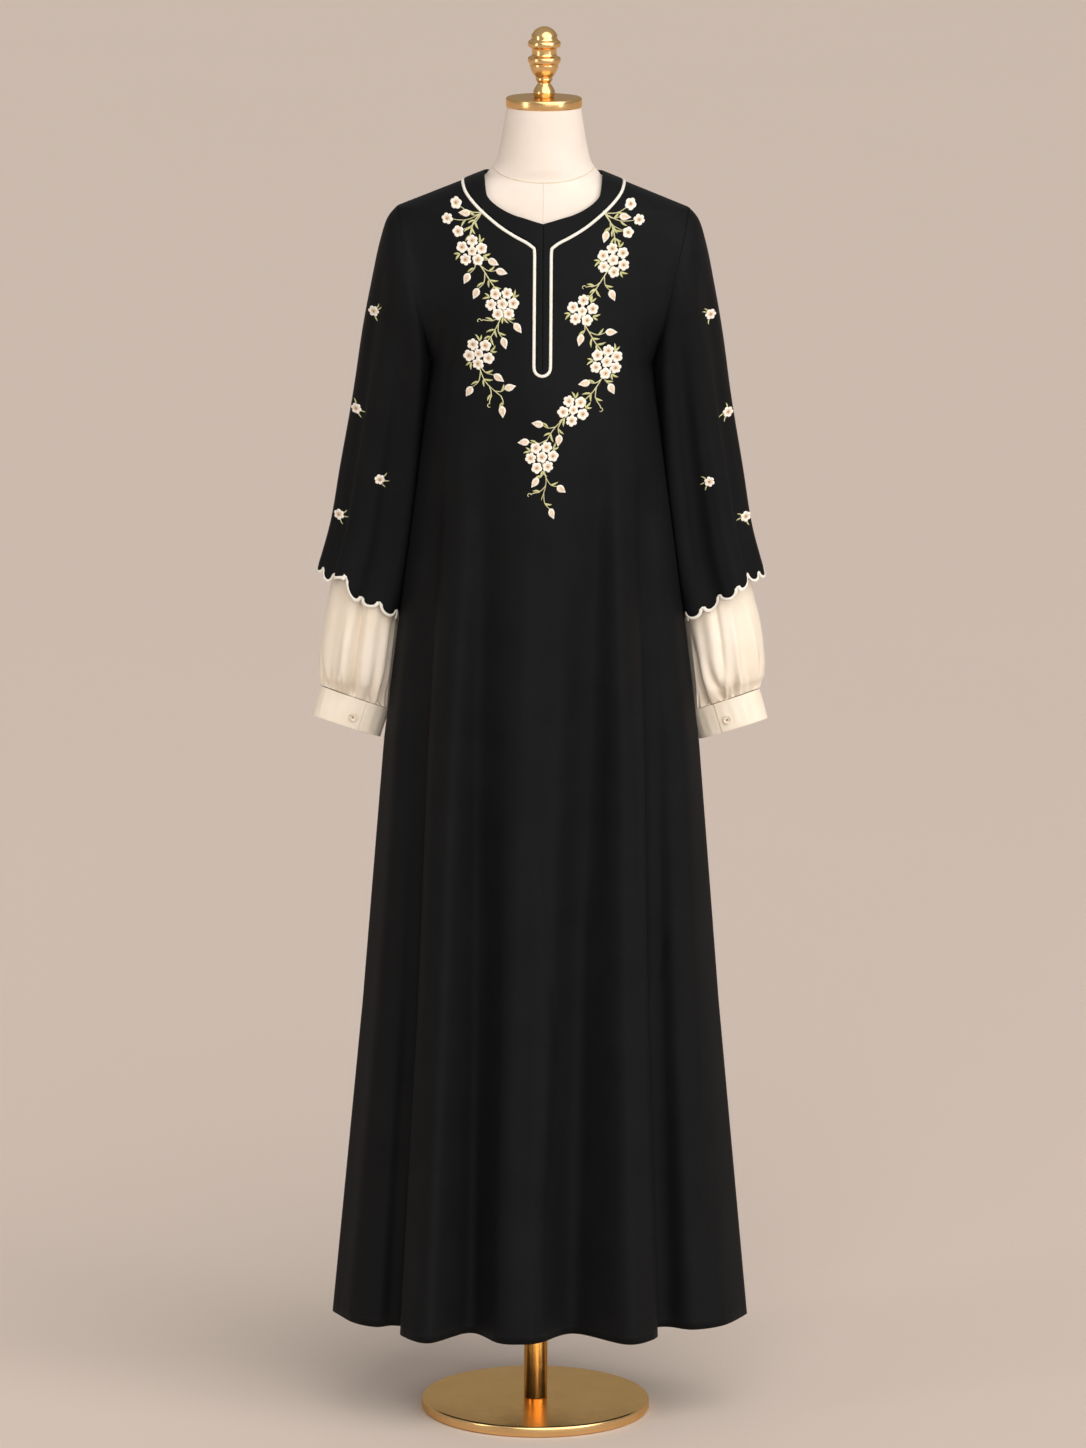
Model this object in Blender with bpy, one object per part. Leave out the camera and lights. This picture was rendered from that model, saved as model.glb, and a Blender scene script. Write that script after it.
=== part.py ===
# A long black abaya with cream inner sleeves on a limbless dress form with a brass stand.
# Metres, +Z up. The front faces -Y, and the garment's left sleeve in a front view is at -X.
import math
from functools import lru_cache

import bmesh
import bpy
from mathutils import Vector

# Heights and half widths of the garment
HEM_HEIGHT = 0.1253
ARMPIT_HEIGHT = 1.360
ARMPIT_ACROSS = 0.1405
SHOULDER_TIP_HEIGHT = 1.553
SHOULDER_TIP_ACROSS = 0.1825
NECK_POINT_HEIGHT = 1.5964
NECK_POINT_ACROSS = 0.0740
ARMPIT_EASE = 0.090
ARMHOLE_HALF_DEPTH = 0.052
FOLD_TOP_HEIGHT = 1.330
FOLD_GROWTH = 0.8
FOLD_EASE = 0.15

# Cloth walls and the gaps at their seams
BODY_WALL = 0.0014
SLEEVE_WALL = 0.0014
INNER_SLEEVE_WALL = 0.0012
CUFF_WALL = 0.0020
BAND_WALL = 0.0010
SEAM_GAP = 0.0003
BAND_LIFT = 0.0008
BACK_BAND_LIFT = 0.0016
ARMHOLE_GAP = 0.0004
INNER_SLEEVE_GAP = 0.0008

# Clear space kept between the body and the sleeves that hang beside it
SLEEVE_CLEARANCE = 0.0022
SLEEVE_HEM_CLEARANCE = 0.0026
INNER_SLEEVE_CLEARANCE = 0.0056

# Neckband, placket and piping
PLACKET_HALF_WIDTH = 0.0079
PLACKET_TOP_HEIGHT = 1.5080
PLACKET_END_HEIGHT = 1.3590
PLACKET_STEPS = 5
BAND_END_TURN = 26.0
CENTRE_SLIT = 0.0003
PIPING_WIDTH = 0.0045
PIPING_HEIGHT = 0.0018

# Scalloped edge of the outer sleeves
SCALLOPS = 16
SCALLOP_COLUMNS = 4
SCALLOP_DEPTH = 0.0095
SCALLOP_HALF_PITCH = 0.0112
NOTCH_SLANT = 1.15
EDGING_WIDTH = 0.0044
EDGING_WALL = 0.0018

# Stand
BASE_RADIUS = 0.146
BASE_HEIGHT = 0.014
BASE_EDGE = 0.003
POLE_RADIUS = 0.015
CAP_RADIUS = 0.0474
CAP_HEIGHT = 0.0128
CAP_RIM = 0.002
CAP_BOTTOM = 1.6775
FORM_BOTTOM = 0.790
BUTTON_RADIUS = 0.005
BUTTON_HEIGHT = 0.0022

# Mesh steps
HEM_STEP = 0.028
UPPER_ROWS = 10
LOWER_ROWS = 9
ROW_SPREAD = 1.4
SLEEVE_COLUMNS = SCALLOPS * SCALLOP_COLUMNS // 2
FORM_COLUMNS = 24

# height, half width below the armpit
BODY_WIDTHS = (
    (0.1253, 0.2650),
    (0.5365, 0.2254),
    (0.8752, 0.1955),
    (1.0283, 0.1780),
    (1.2365, 0.1545),
    (1.3600, 0.1405),
)

# height, depth in front of the axis, depth behind it, squareness of the section
BODY_DEPTHS = (
    (0.1253, 0.1280, 0.1280, 0.50),
    (0.5365, 0.1270, 0.1200, 0.50),
    (0.8752, 0.1265, 0.1120, 0.50),
    (1.1000, 0.1280, 0.1060, 0.51),
    (1.2000, 0.1290, 0.1040, 0.53),
    (1.2500, 0.1285, 0.1035, 0.54),
    (1.2900, 0.1268, 0.1035, 0.55),
    (1.3300, 0.1230, 0.1040, 0.57),
    (1.3600, 0.1185, 0.1035, 0.58),
    (1.3900, 0.1125, 0.1025, 0.59),
    (1.4200, 0.1055, 0.1005, 0.60),
    (1.4600, 0.0955, 0.0965, 0.60),
    (1.5000, 0.0845, 0.0900, 0.57),
    (1.5400, 0.0705, 0.0790, 0.52),
    (1.5530, 0.0670, 0.0750, 0.50),
    (1.5700, 0.0630, 0.0690, 0.50),
    (1.5964, 0.0560, 0.0570, 0.50),
)

# From the centre to the shoulder seam: across and height of the neckline,
# across and height of the band's outer edge
FRONT_NECK = (
    (0.0000, 1.5400, 0.0085, 1.5120),
    (0.0100, 1.5428, 0.0190, 1.5195),
    (0.0220, 1.5465, 0.0330, 1.5265),
    (0.0360, 1.5505, 0.0500, 1.5365),
    (0.0498, 1.5567, 0.0640, 1.5470),
    (0.0625, 1.5650, 0.0780, 1.5590),
    (0.0700, 1.5735, 0.0880, 1.5690),
    (0.0725, 1.5840, 0.0945, 1.5770),
    (0.0733, 1.5915, 0.0974, 1.5830),
    (0.0738, 1.5952, 0.0982, 1.5858),
    (0.0740, 1.5964, 0.0985, 1.5866),
)
BACK_NECK = (
    (0.0000, 1.5840, 0.0000, 1.5580),
    (0.0220, 1.5850, 0.0310, 1.5590),
    (0.0430, 1.5878, 0.0590, 1.5626),
    (0.0580, 1.5916, 0.0780, 1.5688),
    (0.0675, 1.5946, 0.0900, 1.5764),
    (0.0722, 1.5960, 0.0965, 1.5832),
    (0.0740, 1.5964, 0.0985, 1.5866),
)

# turn round the body in degrees, and where the hem lies there: across, depth
FRONT_FOLDS = (
    (-90.0, -0.2620, 0.0000),
    (-80.0, -0.2330, 0.0560),
    (-73.0, -0.2050, 0.0770),
    (-65.0, -0.1830, 0.0690),
    (-57.0, -0.1665, 0.0740),
    (-50.0, -0.1715, 0.1130),
    (-40.0, -0.1365, 0.1530),
    (-28.8, -0.0838, 0.1020),
    (-12.0, -0.0480, 0.1490),
    (0.0, -0.0200, 0.1560),
    (12.0, 0.0050, 0.1470),
    (31.0, 0.0484, 0.1020),
    (40.0, 0.1165, 0.1530),
    (49.0, 0.1535, 0.1160),
    (56.0, 0.1490, 0.0740),
    (64.0, 0.1690, 0.0670),
    (73.0, 0.2003, 0.0800),
    (80.0, 0.2360, 0.0570),
    (90.0, 0.2665, 0.0000),
)
BACK_FOLDS = (
    (-90.0, -0.2620, 0.0000),
    (-78.0, -0.2400, 0.0620),
    (-66.0, -0.2060, 0.0960),
    (-55.0, -0.1720, 0.0840),
    (-43.0, -0.1330, 0.1500),
    (-29.0, -0.0700, 0.1040),
    (-12.0, -0.0350, 0.1430),
    (0.0, 0.0060, 0.1560),
    (12.0, 0.0400, 0.1400),
    (29.0, 0.0760, 0.1030),
    (42.0, 0.1330, 0.1500),
    (54.0, 0.1740, 0.0900),
    (66.0, 0.2080, 0.1000),
    (78.0, 0.2430, 0.0600),
    (90.0, 0.2665, 0.0000),
)

# outer across, outer height, inner across, inner height, half depth, middle's y
OUTER_SLEEVE = (
    (0.1825, 1.5530, 0.1405, 1.3600, 0.0520, 0.000),
    (0.1950, 1.5370, 0.1425, 1.3440, 0.0545, 0.001),
    (0.2045, 1.5060, 0.1440, 1.3250, 0.0565, 0.005),
    (0.2125, 1.4680, 0.1450, 1.3000, 0.0570, 0.011),
    (0.2257, 1.3970, 0.1460, 1.2500, 0.0560, 0.020),
    (0.2385, 1.3090, 0.1480, 1.1950, 0.0540, 0.027),
    (0.2540, 1.2200, 0.1500, 1.1420, 0.0520, 0.031),
    (0.2658, 1.1500, 0.1560, 1.0880, 0.0520, 0.032),
    (0.2800, 1.1030, 0.1660, 1.0440, 0.0530, 0.032),
)

# turn round the sleeve in degrees (0 is outside, 90 in front), half width, depth
SLEEVE_FOLDS = (
    (38.0, 14.0, -0.0050),
    (66.0, 12.0, 0.0040),
    (98.0, 15.0, -0.0060),
    (128.0, 13.0, 0.0045),
    (-45.0, 15.0, -0.0050),
    (-80.0, 14.0, 0.0045),
    (-118.0, 15.0, -0.0050),
)

# outer across, outer height, inner across, inner height, half depth, middle's y
INNER_SLEEVE = (
    (0.2600, 1.1300, 0.1640, 1.0800, 0.0415, 0.032),
    (0.2610, 1.0950, 0.1690, 1.0540, 0.0410, 0.032),
    (0.2665, 1.0560, 0.1730, 1.0200, 0.0425, 0.033),
    (0.2725, 1.0200, 0.1760, 0.9880, 0.0450, 0.034),
    (0.2764, 0.9820, 0.1800, 0.9560, 0.0440, 0.035),
    (0.2755, 0.9590, 0.1850, 0.9360, 0.0390, 0.035),
    (0.2735, 0.9480, 0.1890, 0.9190, 0.0300, 0.035),
    (0.2730, 0.9420, 0.1905, 0.9130, 0.0255, 0.035),
)
INNER_SLEEVE_TOP = 6.75
GATHER_DEPTH = 0.0016

# turn round the inner sleeve in degrees, half width, depth
INNER_SLEEVE_FOLDS = (
    (52.0, 12.0, -0.0050),
    (84.0, 11.0, -0.0060),
    (112.0, 12.0, 0.0040),
    (140.0, 12.0, -0.0050),
    (-60.0, 14.0, -0.0050),
    (-110.0, 14.0, -0.0050),
)

# outer across, outer height, inner across, inner height, half depth, middle's y
CUFF = (
    (0.2740, 0.9410, 0.1900, 0.9120, 0.0260, 0.035),
    (0.2850, 0.9030, 0.2020, 0.8760, 0.0270, 0.035),
)
CUFF_COLUMNS = 22
CUFF_LAP = 0.07
CUFF_START_TURN = 110.0
CUFF_UNDERLAP_START = 0.80
CUFF_UNDERLAP_EASE = 0.14
BUTTON_TURN = 96.0

# share of the button's height, share of its radius
BUTTON_PROFILE = (
    (0.00, 0.00),
    (0.00, 0.86),
    (0.45, 1.00),
    (1.00, 0.84),
    (1.00, 0.66),
    (0.65, 0.56),
    (0.65, 0.00),
)

# height, half width, depth in front, depth behind
FORM_SECTIONS = (
    (1.6772, 0.0455, 0.0455, 0.0455),
    (1.6745, 0.0468, 0.0468, 0.0468),
    (1.6395, 0.0525, 0.0500, 0.0500),
    (1.6155, 0.0578, 0.0525, 0.0525),
    (1.6045, 0.0628, 0.0535, 0.0540),
    (1.5980, 0.0682, 0.0530, 0.0545),
    (1.5915, 0.0745, 0.0530, 0.0550),
    (1.5840, 0.0930, 0.0555, 0.0600),
    (1.5740, 0.1165, 0.0580, 0.0645),
    (1.5640, 0.1410, 0.0605, 0.0680),
    (1.5550, 0.1600, 0.0625, 0.0705),
    (1.5470, 0.1680, 0.0645, 0.0735),
    (1.5350, 0.1705, 0.0685, 0.0765),
    (1.5100, 0.1665, 0.0770, 0.0820),
    (1.4600, 0.1555, 0.0915, 0.0910),
    (1.4000, 0.1400, 0.1050, 0.0950),
    (1.3400, 0.1290, 0.1140, 0.0950),
    (1.2900, 0.1290, 0.1180, 0.0900),
    (1.2200, 0.1200, 0.1020, 0.0800),
    (1.1300, 0.1080, 0.0830, 0.0720),
    (1.0400, 0.1280, 0.0900, 0.0880),
    (0.9500, 0.1480, 0.0990, 0.1000),
    (0.8700, 0.1520, 0.1000, 0.1020),
    (0.8150, 0.1460, 0.0950, 0.0970),
    (0.7960, 0.1320, 0.0840, 0.0860),
    (0.7900, 0.1150, 0.0700, 0.0720),
)

# height above the cap, radius
FINIAL_PROFILE = (
    (0.0000, 0.0122),
    (0.0060, 0.0137),
    (0.0125, 0.0108),
    (0.0172, 0.0080),
    (0.0212, 0.0104),
    (0.0245, 0.0104),
    (0.0300, 0.0145),
    (0.0375, 0.0176),
    (0.0412, 0.0178),
    (0.0430, 0.0197),
    (0.0462, 0.0205),
    (0.0494, 0.0197),
    (0.0518, 0.0158),
    (0.0568, 0.0153),
    (0.0604, 0.0160),
    (0.0630, 0.0197),
    (0.0662, 0.0205),
    (0.0694, 0.0197),
    (0.0716, 0.0168),
    (0.0775, 0.0158),
    (0.0830, 0.0118),
    (0.0868, 0.0060),
    (0.0881, 0.0000),
)

BLACK_CREPE = (0.010, 0.010, 0.011)
CREAM_CORD = (0.82, 0.77, 0.66)
IVORY_SATIN = (0.80, 0.72, 0.58)
FORM_COVER = (0.78, 0.71, 0.60)
BRASS = (0.72, 0.52, 0.26)
BUTTON_SHELL = (0.80, 0.68, 0.50)


def clear_scene():
    for old in list(bpy.data.objects):
        bpy.data.objects.remove(old, do_unlink=True)


def smooth(share):
    share = min(1.0, max(0.0, share))
    return share * share * (3.0 - 2.0 * share)


# Straight reading of a table whose first column rises
def straight_value(rows, position, column):
    for low, high in zip(rows, rows[1:]):
        if position <= high[0]:
            share = (position - low[0]) / (high[0] - low[0])
            return low[column] + (high[column] - low[column]) * max(0.0, share)
    return rows[-1][column]


# Smooth reading of such a table
def smooth_value(rows, position, column):
    for index, (low, high) in enumerate(zip(rows, rows[1:])):
        if position <= high[0]:
            before = rows[max(0, index - 1)]
            after = rows[min(len(rows) - 1, index + 2)]
            width = high[0] - low[0]
            share = max(0.0, (position - low[0]) / width)
            low_slope = (high[column] - before[column]) / (high[0] - before[0])
            high_slope = (after[column] - low[column]) / (after[0] - low[0])
            value = low[column] + (high[column] - low[column]) * smooth(share)
            value += low_slope * width * share * (1.0 - share) ** 2
            value -= high_slope * width * share ** 2 * (1.0 - share)
            return value
    return rows[-1][column]


# Smooth curve through rows of numbers at a place between two of them
def curve_value(before, start, end, after, share):
    result = []
    for a, b, c, d in zip(before, start, end, after):
        bend = 2.0 * b + (c - a) * share
        bend += (2.0 * a - 5.0 * b + 4.0 * c - d) * share ** 2
        bend += (3.0 * b - a - 3.0 * c + d) * share ** 3
        result.append(bend / 2.0)
    return result


def row_curve(rows, position):
    index = min(int(position), len(rows) - 2)
    share = position - index
    before = rows[max(0, index - 1)]
    after = rows[min(len(rows) - 1, index + 2)]
    return curve_value(before, rows[index], rows[index + 1], after, share)


def make_object(name, mesh_data, colour, roughness, metallic=0.0):
    mesh = bpy.data.meshes.new(name)
    bmesh.ops.triangulate(mesh_data, faces=mesh_data.faces[:], quad_method="FIXED")
    mesh_data.to_mesh(mesh)
    mesh_data.free()
    mesh.shade_smooth()
    mesh.set_sharp_from_angle(angle=math.radians(40.0))
    material = bpy.data.materials.new(name)
    material.use_nodes = True
    shader = material.node_tree.nodes["Principled BSDF"]
    shader.inputs["Base Color"].default_value = (*colour, 1.0)
    shader.inputs["Roughness"].default_value = roughness
    shader.inputs["Metallic"].default_value = metallic
    mesh.materials.append(material)
    made = bpy.data.objects.new(name, mesh)
    bpy.context.scene.collection.objects.link(made)
    return made


# Faces between two rows of points; the lower row may have twice as many columns
def strip_faces(upper, lower, closed):
    faces = []
    count = len(upper) if closed else len(upper) - 1
    doubled = len(lower) >= 2 * len(upper) - 1 and len(lower) != len(upper)
    for column in range(count):
        right = (column + 1) % len(upper)
        if doubled:
            first = 2 * column
            middle = (first + 1) % len(lower)
            last = (first + 2) % len(lower)
            faces.append((upper[column], lower[first], lower[middle]))
            faces.append((upper[column], lower[middle], upper[right]))
            faces.append((upper[right], lower[middle], lower[last]))
        else:
            faces.append((upper[column], lower[column], lower[right], upper[right]))
    return faces


# A closed wall of cloth from rows of outer points, running downwards and to the right.
# inward may replace the direction of the wall at a point.
def cloth_wall(name, rows, closed, thickness, colour, roughness, inward=None):
    data = bmesh.new()
    outer = [[data.verts.new(point) for point in row] for row in rows]
    quads = []
    for upper, lower in zip(outer, outer[1:]):
        quads += strip_faces(upper, lower, closed)
    for quad in quads:
        data.faces.new(quad)
    data.normal_update()
    twin = {}
    inner = []
    for row_index, row in enumerate(outer):
        inner_row = []
        for column, corner in enumerate(row):
            normal = corner.normal.copy()
            if inward:
                normal = inward(row_index, column, normal)
            partner = data.verts.new(corner.co - normal * thickness)
            twin[corner] = partner
            inner_row.append(partner)
        inner.append(inner_row)
    for quad in quads:
        turned = (quad[0],) + tuple(reversed(quad[1:]))
        data.faces.new([twin[corner] for corner in turned])
    for row, upwards in ((0, True), (-1, False)):
        line, back = outer[row], inner[row]
        count = len(line) if closed else len(line) - 1
        for column in range(count):
            right = (column + 1) % len(line)
            if upwards:
                data.faces.new((line[column], line[right], back[right], back[column]))
            else:
                data.faces.new((line[column], back[column], back[right], line[right]))
    if not closed:
        for up in range(len(outer) - 1):
            low = up + 1
            data.faces.new((outer[up][0], inner[up][0], inner[low][0], outer[low][0]))
            data.faces.new((outer[up][-1], outer[low][-1], inner[low][-1], inner[up][-1]))
    return make_object(name, data, colour, roughness)


def mirrored(rows):
    return [[Vector((-p.x, p.y, p.z)) for p in reversed(row)] for row in rows]


# The plain body: half width, depth, and how the armhole opens it
def body_half_width(height):
    if height >= SHOULDER_TIP_HEIGHT:
        share = (NECK_POINT_HEIGHT - height) / (NECK_POINT_HEIGHT - SHOULDER_TIP_HEIGHT)
        return NECK_POINT_ACROSS + share * (SHOULDER_TIP_ACROSS - NECK_POINT_ACROSS)
    if height >= ARMPIT_HEIGHT:
        share = (height - ARMPIT_HEIGHT) / (SHOULDER_TIP_HEIGHT - ARMPIT_HEIGHT)
        return ARMPIT_ACROSS + share * (SHOULDER_TIP_ACROSS - ARMPIT_ACROSS)
    return straight_value(BODY_WIDTHS, height, 1)


def armhole_half_opening(height):
    middle = (SHOULDER_TIP_HEIGHT + ARMPIT_HEIGHT) / 2.0
    reach = (SHOULDER_TIP_HEIGHT - ARMPIT_HEIGHT) / 2.0
    share = (height - middle) / reach
    return ARMHOLE_HALF_DEPTH * math.sqrt(max(0.0, 1.0 - share * share))


def body_depth(face, height):
    return smooth_value(BODY_DEPTHS, height, 1 if face < 0 else 2)


# The armpit's corner belongs to the sides: nearer the middle the width changes gently there
def side_share(across, height):
    plain = body_half_width(height)
    rounding = max(0.0, 1.0 - abs(height - ARMPIT_HEIGHT) / ARMPIT_EASE) ** 2
    below = ARMPIT_HEIGHT - ARMPIT_EASE
    above = ARMPIT_HEIGHT + ARMPIT_EASE
    corner = (body_half_width(below) + body_half_width(above)) / 2.0 - ARMPIT_ACROSS
    share = min(1.0, abs(across) / plain)
    eased = plain + corner * rounding / 2.0 * (1.0 - share ** 6)
    return min(1.0, abs(across) / eased)


# Distance of the plain surface from the middle plane, at a place across
def surface_depth(face, across, height):
    side = side_share(across, height)
    power = smooth_value(BODY_DEPTHS, height, 3)
    crown = body_depth(face, height) * (1.0 - side * side) ** power
    return math.hypot(crown, armhole_half_opening(height) * side ** 3)


# Rises through 1 where a point passes out of the plain surface
def surface_level(face, point):
    side = side_share(point.x, point.z)
    beyond = max(0.0, abs(point.x) / body_half_width(point.z) - 1.0)
    power = smooth_value(BODY_DEPTHS, point.z, 3)
    opening = armhole_half_opening(point.z) * side ** 3
    crown = max(0.0, point.y ** 2 - opening ** 2) / body_depth(face, point.z) ** 2
    return crown ** (0.5 / power) + side * side + 2.0 * beyond


def surface_normal(face, point):
    step = 0.0004
    slope = []
    for axis in (Vector((step, 0, 0)), Vector((0, step, 0)), Vector((0, 0, step))):
        ahead = surface_level(face, point + axis)
        behind = surface_level(face, point - axis)
        slope.append(ahead - behind)
    normal = Vector(slope)
    if abs(point.y) < step:
        normal.y = 0.0
    return normal.normalized()


def on_surface(face, across, height, lift=0.0):
    depth = surface_depth(face, across, height)
    point = Vector((across, face * depth, height))
    return point + surface_normal(face, point) * lift


# Folds of the skirt: the hem's course, faded out towards the chest
def hem_course(folds, degrees):
    for index, (low, high) in enumerate(zip(folds, folds[1:])):
        if degrees <= high[0]:
            share = max(0.0, (degrees - low[0]) / (high[0] - low[0]))
            before = folds[max(0, index - 1)]
            after = folds[min(len(folds) - 1, index + 2)]
            return curve_value(before[1:], low[1:], high[1:], after[1:], share)
    return list(folds[-1][1:])


def fold_share(height):
    share = (FOLD_TOP_HEIGHT - height) / (FOLD_TOP_HEIGHT - HEM_HEIGHT)
    if share <= 0.0:
        return 0.0
    return share ** FOLD_GROWTH * smooth(share / FOLD_EASE)


def body_point(face, degrees, height, shift=0.0):
    side = math.sin(math.radians(degrees))
    across = side * body_half_width(min(height, SHOULDER_TIP_HEIGHT)) + shift
    depth = surface_depth(face, across, height)
    share = fold_share(height)
    if share > 0.0:
        folds = FRONT_FOLDS if face < 0 else BACK_FOLDS
        hem_across, hem_depth = hem_course(folds, degrees)
        plain_across = side * body_half_width(HEM_HEIGHT)
        plain_depth = surface_depth(face, plain_across, HEM_HEIGHT)
        across += share * (hem_across - plain_across)
        depth += share * (hem_depth - plain_depth)
    return Vector((across, face * max(depth, SEAM_GAP / 2.0), height))


# Columns of a panel: the turn of each, and its place across at the top.
# The columns under the neckline stand close together there and spread out below.
def panel_columns(face):
    folds = FRONT_FOLDS if face < 0 else BACK_FOLDS
    neckline = FRONT_NECK[::2] if face < 0 else BACK_NECK
    neck_turn = math.degrees(math.asin(NECK_POINT_ACROSS / SHOULDER_TIP_ACROSS))
    columns = []
    for index, row in enumerate(neckline):
        turn = neck_turn * index / (len(neckline) - 1)
        columns.append((turn, row[0]))
        if index:
            columns.append((-turn, -row[0]))
    for low, high in zip(folds, folds[1:]):
        steps = max(1, round(math.dist(low[1:], high[1:]) / HEM_STEP))
        for step in range(steps + 1):
            turn = round(low[0] + (high[0] - low[0]) * step / steps, 4)
            if abs(turn) > neck_turn + 1.5:
                columns.append((turn, math.sin(math.radians(turn)) * SHOULDER_TIP_ACROSS))
    return sorted(set(columns))


def top_height(face, across):
    across = abs(across)
    if across >= NECK_POINT_ACROSS - 1e-6:
        share = (across - NECK_POINT_ACROSS) / (SHOULDER_TIP_ACROSS - NECK_POINT_ACROSS)
        return NECK_POINT_HEIGHT - share * (NECK_POINT_HEIGHT - SHOULDER_TIP_HEIGHT)
    return straight_value(FRONT_NECK if face < 0 else BACK_NECK, across, 1)


# Rows of a front or back panel, from the neck and shoulders to the hem
def panel_rows(face, columns):
    rows = []
    for row in range(UPPER_ROWS + 1):
        drop = (1.0 - math.cos(math.pi * row / UPPER_ROWS)) / 2.0
        points = []
        for turn, top_across in columns:
            top = top_height(face, top_across)
            plain = math.sin(math.radians(turn)) * SHOULDER_TIP_ACROSS
            shift = (top_across - plain) * (1.0 - drop) ** 2
            height = top + (ARMPIT_HEIGHT - top) * drop
            points.append(body_point(face, turn, height, shift))
        rows.append(points)
    for row in range(1, LOWER_ROWS + 1):
        drop = (row / LOWER_ROWS) ** ROW_SPREAD
        height = ARMPIT_HEIGHT + (HEM_HEIGHT - ARMPIT_HEIGHT) * drop
        rows.append([body_point(face, turn, height) for turn, _ in columns])
    return rows


# The direction out of an armhole's plane, on the right (1) or the left (-1)
def out_of_armhole(side):
    lean = (SHOULDER_TIP_ACROSS - ARMPIT_ACROSS) / (SHOULDER_TIP_HEIGHT - ARMPIT_HEIGHT)
    return Vector((side, 0.0, -lean)).normalized()


def make_panel(name, face):
    columns = panel_columns(face)
    rows = panel_rows(face, columns)

    # At a seam the wall lies in the seam's plane, so that both panels meet flat.
    # Along the armhole it stays inside the armhole's plane.
    def inward(row, column, normal):
        edge = column in (0, len(columns) - 1)
        at_side = edge and (row == 0 or row >= UPPER_ROWS)
        at_shoulder = row == 0 and abs(columns[column][1]) >= NECK_POINT_ACROSS
        if at_side or at_shoulder:
            normal.y = 0.0
            normal.normalize()
        elif edge:
            outwards = out_of_armhole(math.copysign(1.0, columns[column][1]))
            lean_in = min(0.0, normal.dot(outwards))
            normal = (normal - outwards * lean_in).normalized()
        return normal

    if face > 0:
        rows = [list(reversed(row)) for row in rows]
        columns = list(reversed(columns))
    return cloth_wall(name, rows, False, BODY_WALL, BLACK_CREPE, 0.75, inward)


# The body's outline at a height, for pieces that hang beside it
@lru_cache(maxsize=None)
def body_outline(height_mm):
    height = height_mm / 1000.0
    outline = [body_point(-1, turn, height) for turn, _ in panel_columns(-1)]
    outline += [body_point(1, turn, height) for turn, _ in reversed(panel_columns(1))]
    return [(point.x, point.y) for point in outline]


def body_side(side, y, height):
    if height >= ARMPIT_HEIGHT:
        return body_half_width(height)
    reach = 0.0
    outline = body_outline(round(height * 1000.0))
    for (x1, y1), (x2, y2) in zip(outline, outline[1:] + outline[:1]):
        if min(y1, y2) <= y <= max(y1, y2) and y1 != y2:
            across = x1 + (x2 - x1) * (y - y1) / (y2 - y1)
            reach = max(reach, side * across)
    return reach


def fold_depth(folds, degrees):
    total = 0.0
    for turn, half_width, depth in folds:
        away = (degrees - turn + 180.0) % 360.0 - 180.0
        total += depth * math.exp(-(away / half_width) ** 2)
    return total


# Centre of a sleeve at a place down its table, and the spoke from there to the cloth.
# The turn is 0 outside, 90 in front and 180 beside the body.
def tube_spoke(table, place, degrees):
    outer_x, outer_z, inner_x, inner_z, half_depth, middle = row_curve(table, place)
    turn = math.radians(degrees)
    centre = Vector(((outer_x + inner_x) / 2.0, middle, (outer_z + inner_z) / 2.0))
    arm = Vector((outer_x, middle, outer_z)) - centre
    spoke = arm * math.cos(turn) + Vector((0.0, -half_depth, 0.0)) * math.sin(turn)
    return centre, spoke


# A point of a hanging sleeve, with its folds, kept clear of the body
def tube_point(table, folds, side, place, degrees, folded, clearance):
    centre, spoke = tube_spoke(table, place, degrees)
    spoke += spoke.normalized() * fold_depth(folds, degrees) * folded
    point = centre + spoke
    point.x = max(point.x, body_side(side, point.y, point.z) + clearance)
    return point


def outer_sleeve_point(side, place, degrees):
    folded = smooth((place - 1.0) / 3.0)
    clearance = ARMHOLE_GAP + SLEEVE_CLEARANCE * smooth(place / 1.5)
    point = tube_point(OUTER_SLEEVE, SLEEVE_FOLDS, side, place, degrees, folded, clearance)
    if place == 0:
        point.x = body_half_width(point.z) + ARMHOLE_GAP
    return point


# A point below the hem's notches, by a drop along the cloth
def sleeve_hem_point(side, degrees, drop):
    place = len(OUTER_SLEEVE) - 1
    low = outer_sleeve_point(side, place, degrees)
    above = outer_sleeve_point(side, place - 0.4, degrees)
    point = low + (low - above).normalized() * drop
    point.x = max(point.x, body_side(side, point.y, point.z) + SLEEVE_HEM_CLEARANCE)
    return point


# Each scallop is an arc of a circle through two notches
def scallop_drop(share):
    radius = (SCALLOP_HALF_PITCH ** 2 + SCALLOP_DEPTH ** 2) / (2.0 * SCALLOP_DEPTH)
    across = (2.0 * share - 1.0) * SCALLOP_HALF_PITCH
    return math.sqrt(radius ** 2 - across ** 2) - (radius - SCALLOP_DEPTH)


def sleeve_turns(columns):
    return [-360.0 * column / columns for column in range(columns)]


def outer_sleeve_rows(side):
    turns = sleeve_turns(SLEEVE_COLUMNS)
    last = len(OUTER_SLEEVE) - 1
    rows = [[outer_sleeve_point(side, place, turn) for turn in turns] for place in range(last)]
    rows.append([outer_sleeve_point(side, last - 0.35, turn) for turn in turns])
    rows.append(scallop_row(side, -EDGING_WIDTH - 3.0 * SEAM_GAP))
    return rows


# A row along the scallops. The band runs aslant off their middles, so it is taller there.
def scallop_row(side, shift):
    row = []
    turns = sleeve_turns(SLEEVE_COLUMNS * 2)
    for column, turn in enumerate(turns):
        share = (column % SCALLOP_COLUMNS) / SCALLOP_COLUMNS
        slant = 1.0 if share == 0.5 else NOTCH_SLANT
        row.append(sleeve_hem_point(side, turn, scallop_drop(share) + shift * slant))
    return row


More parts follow.
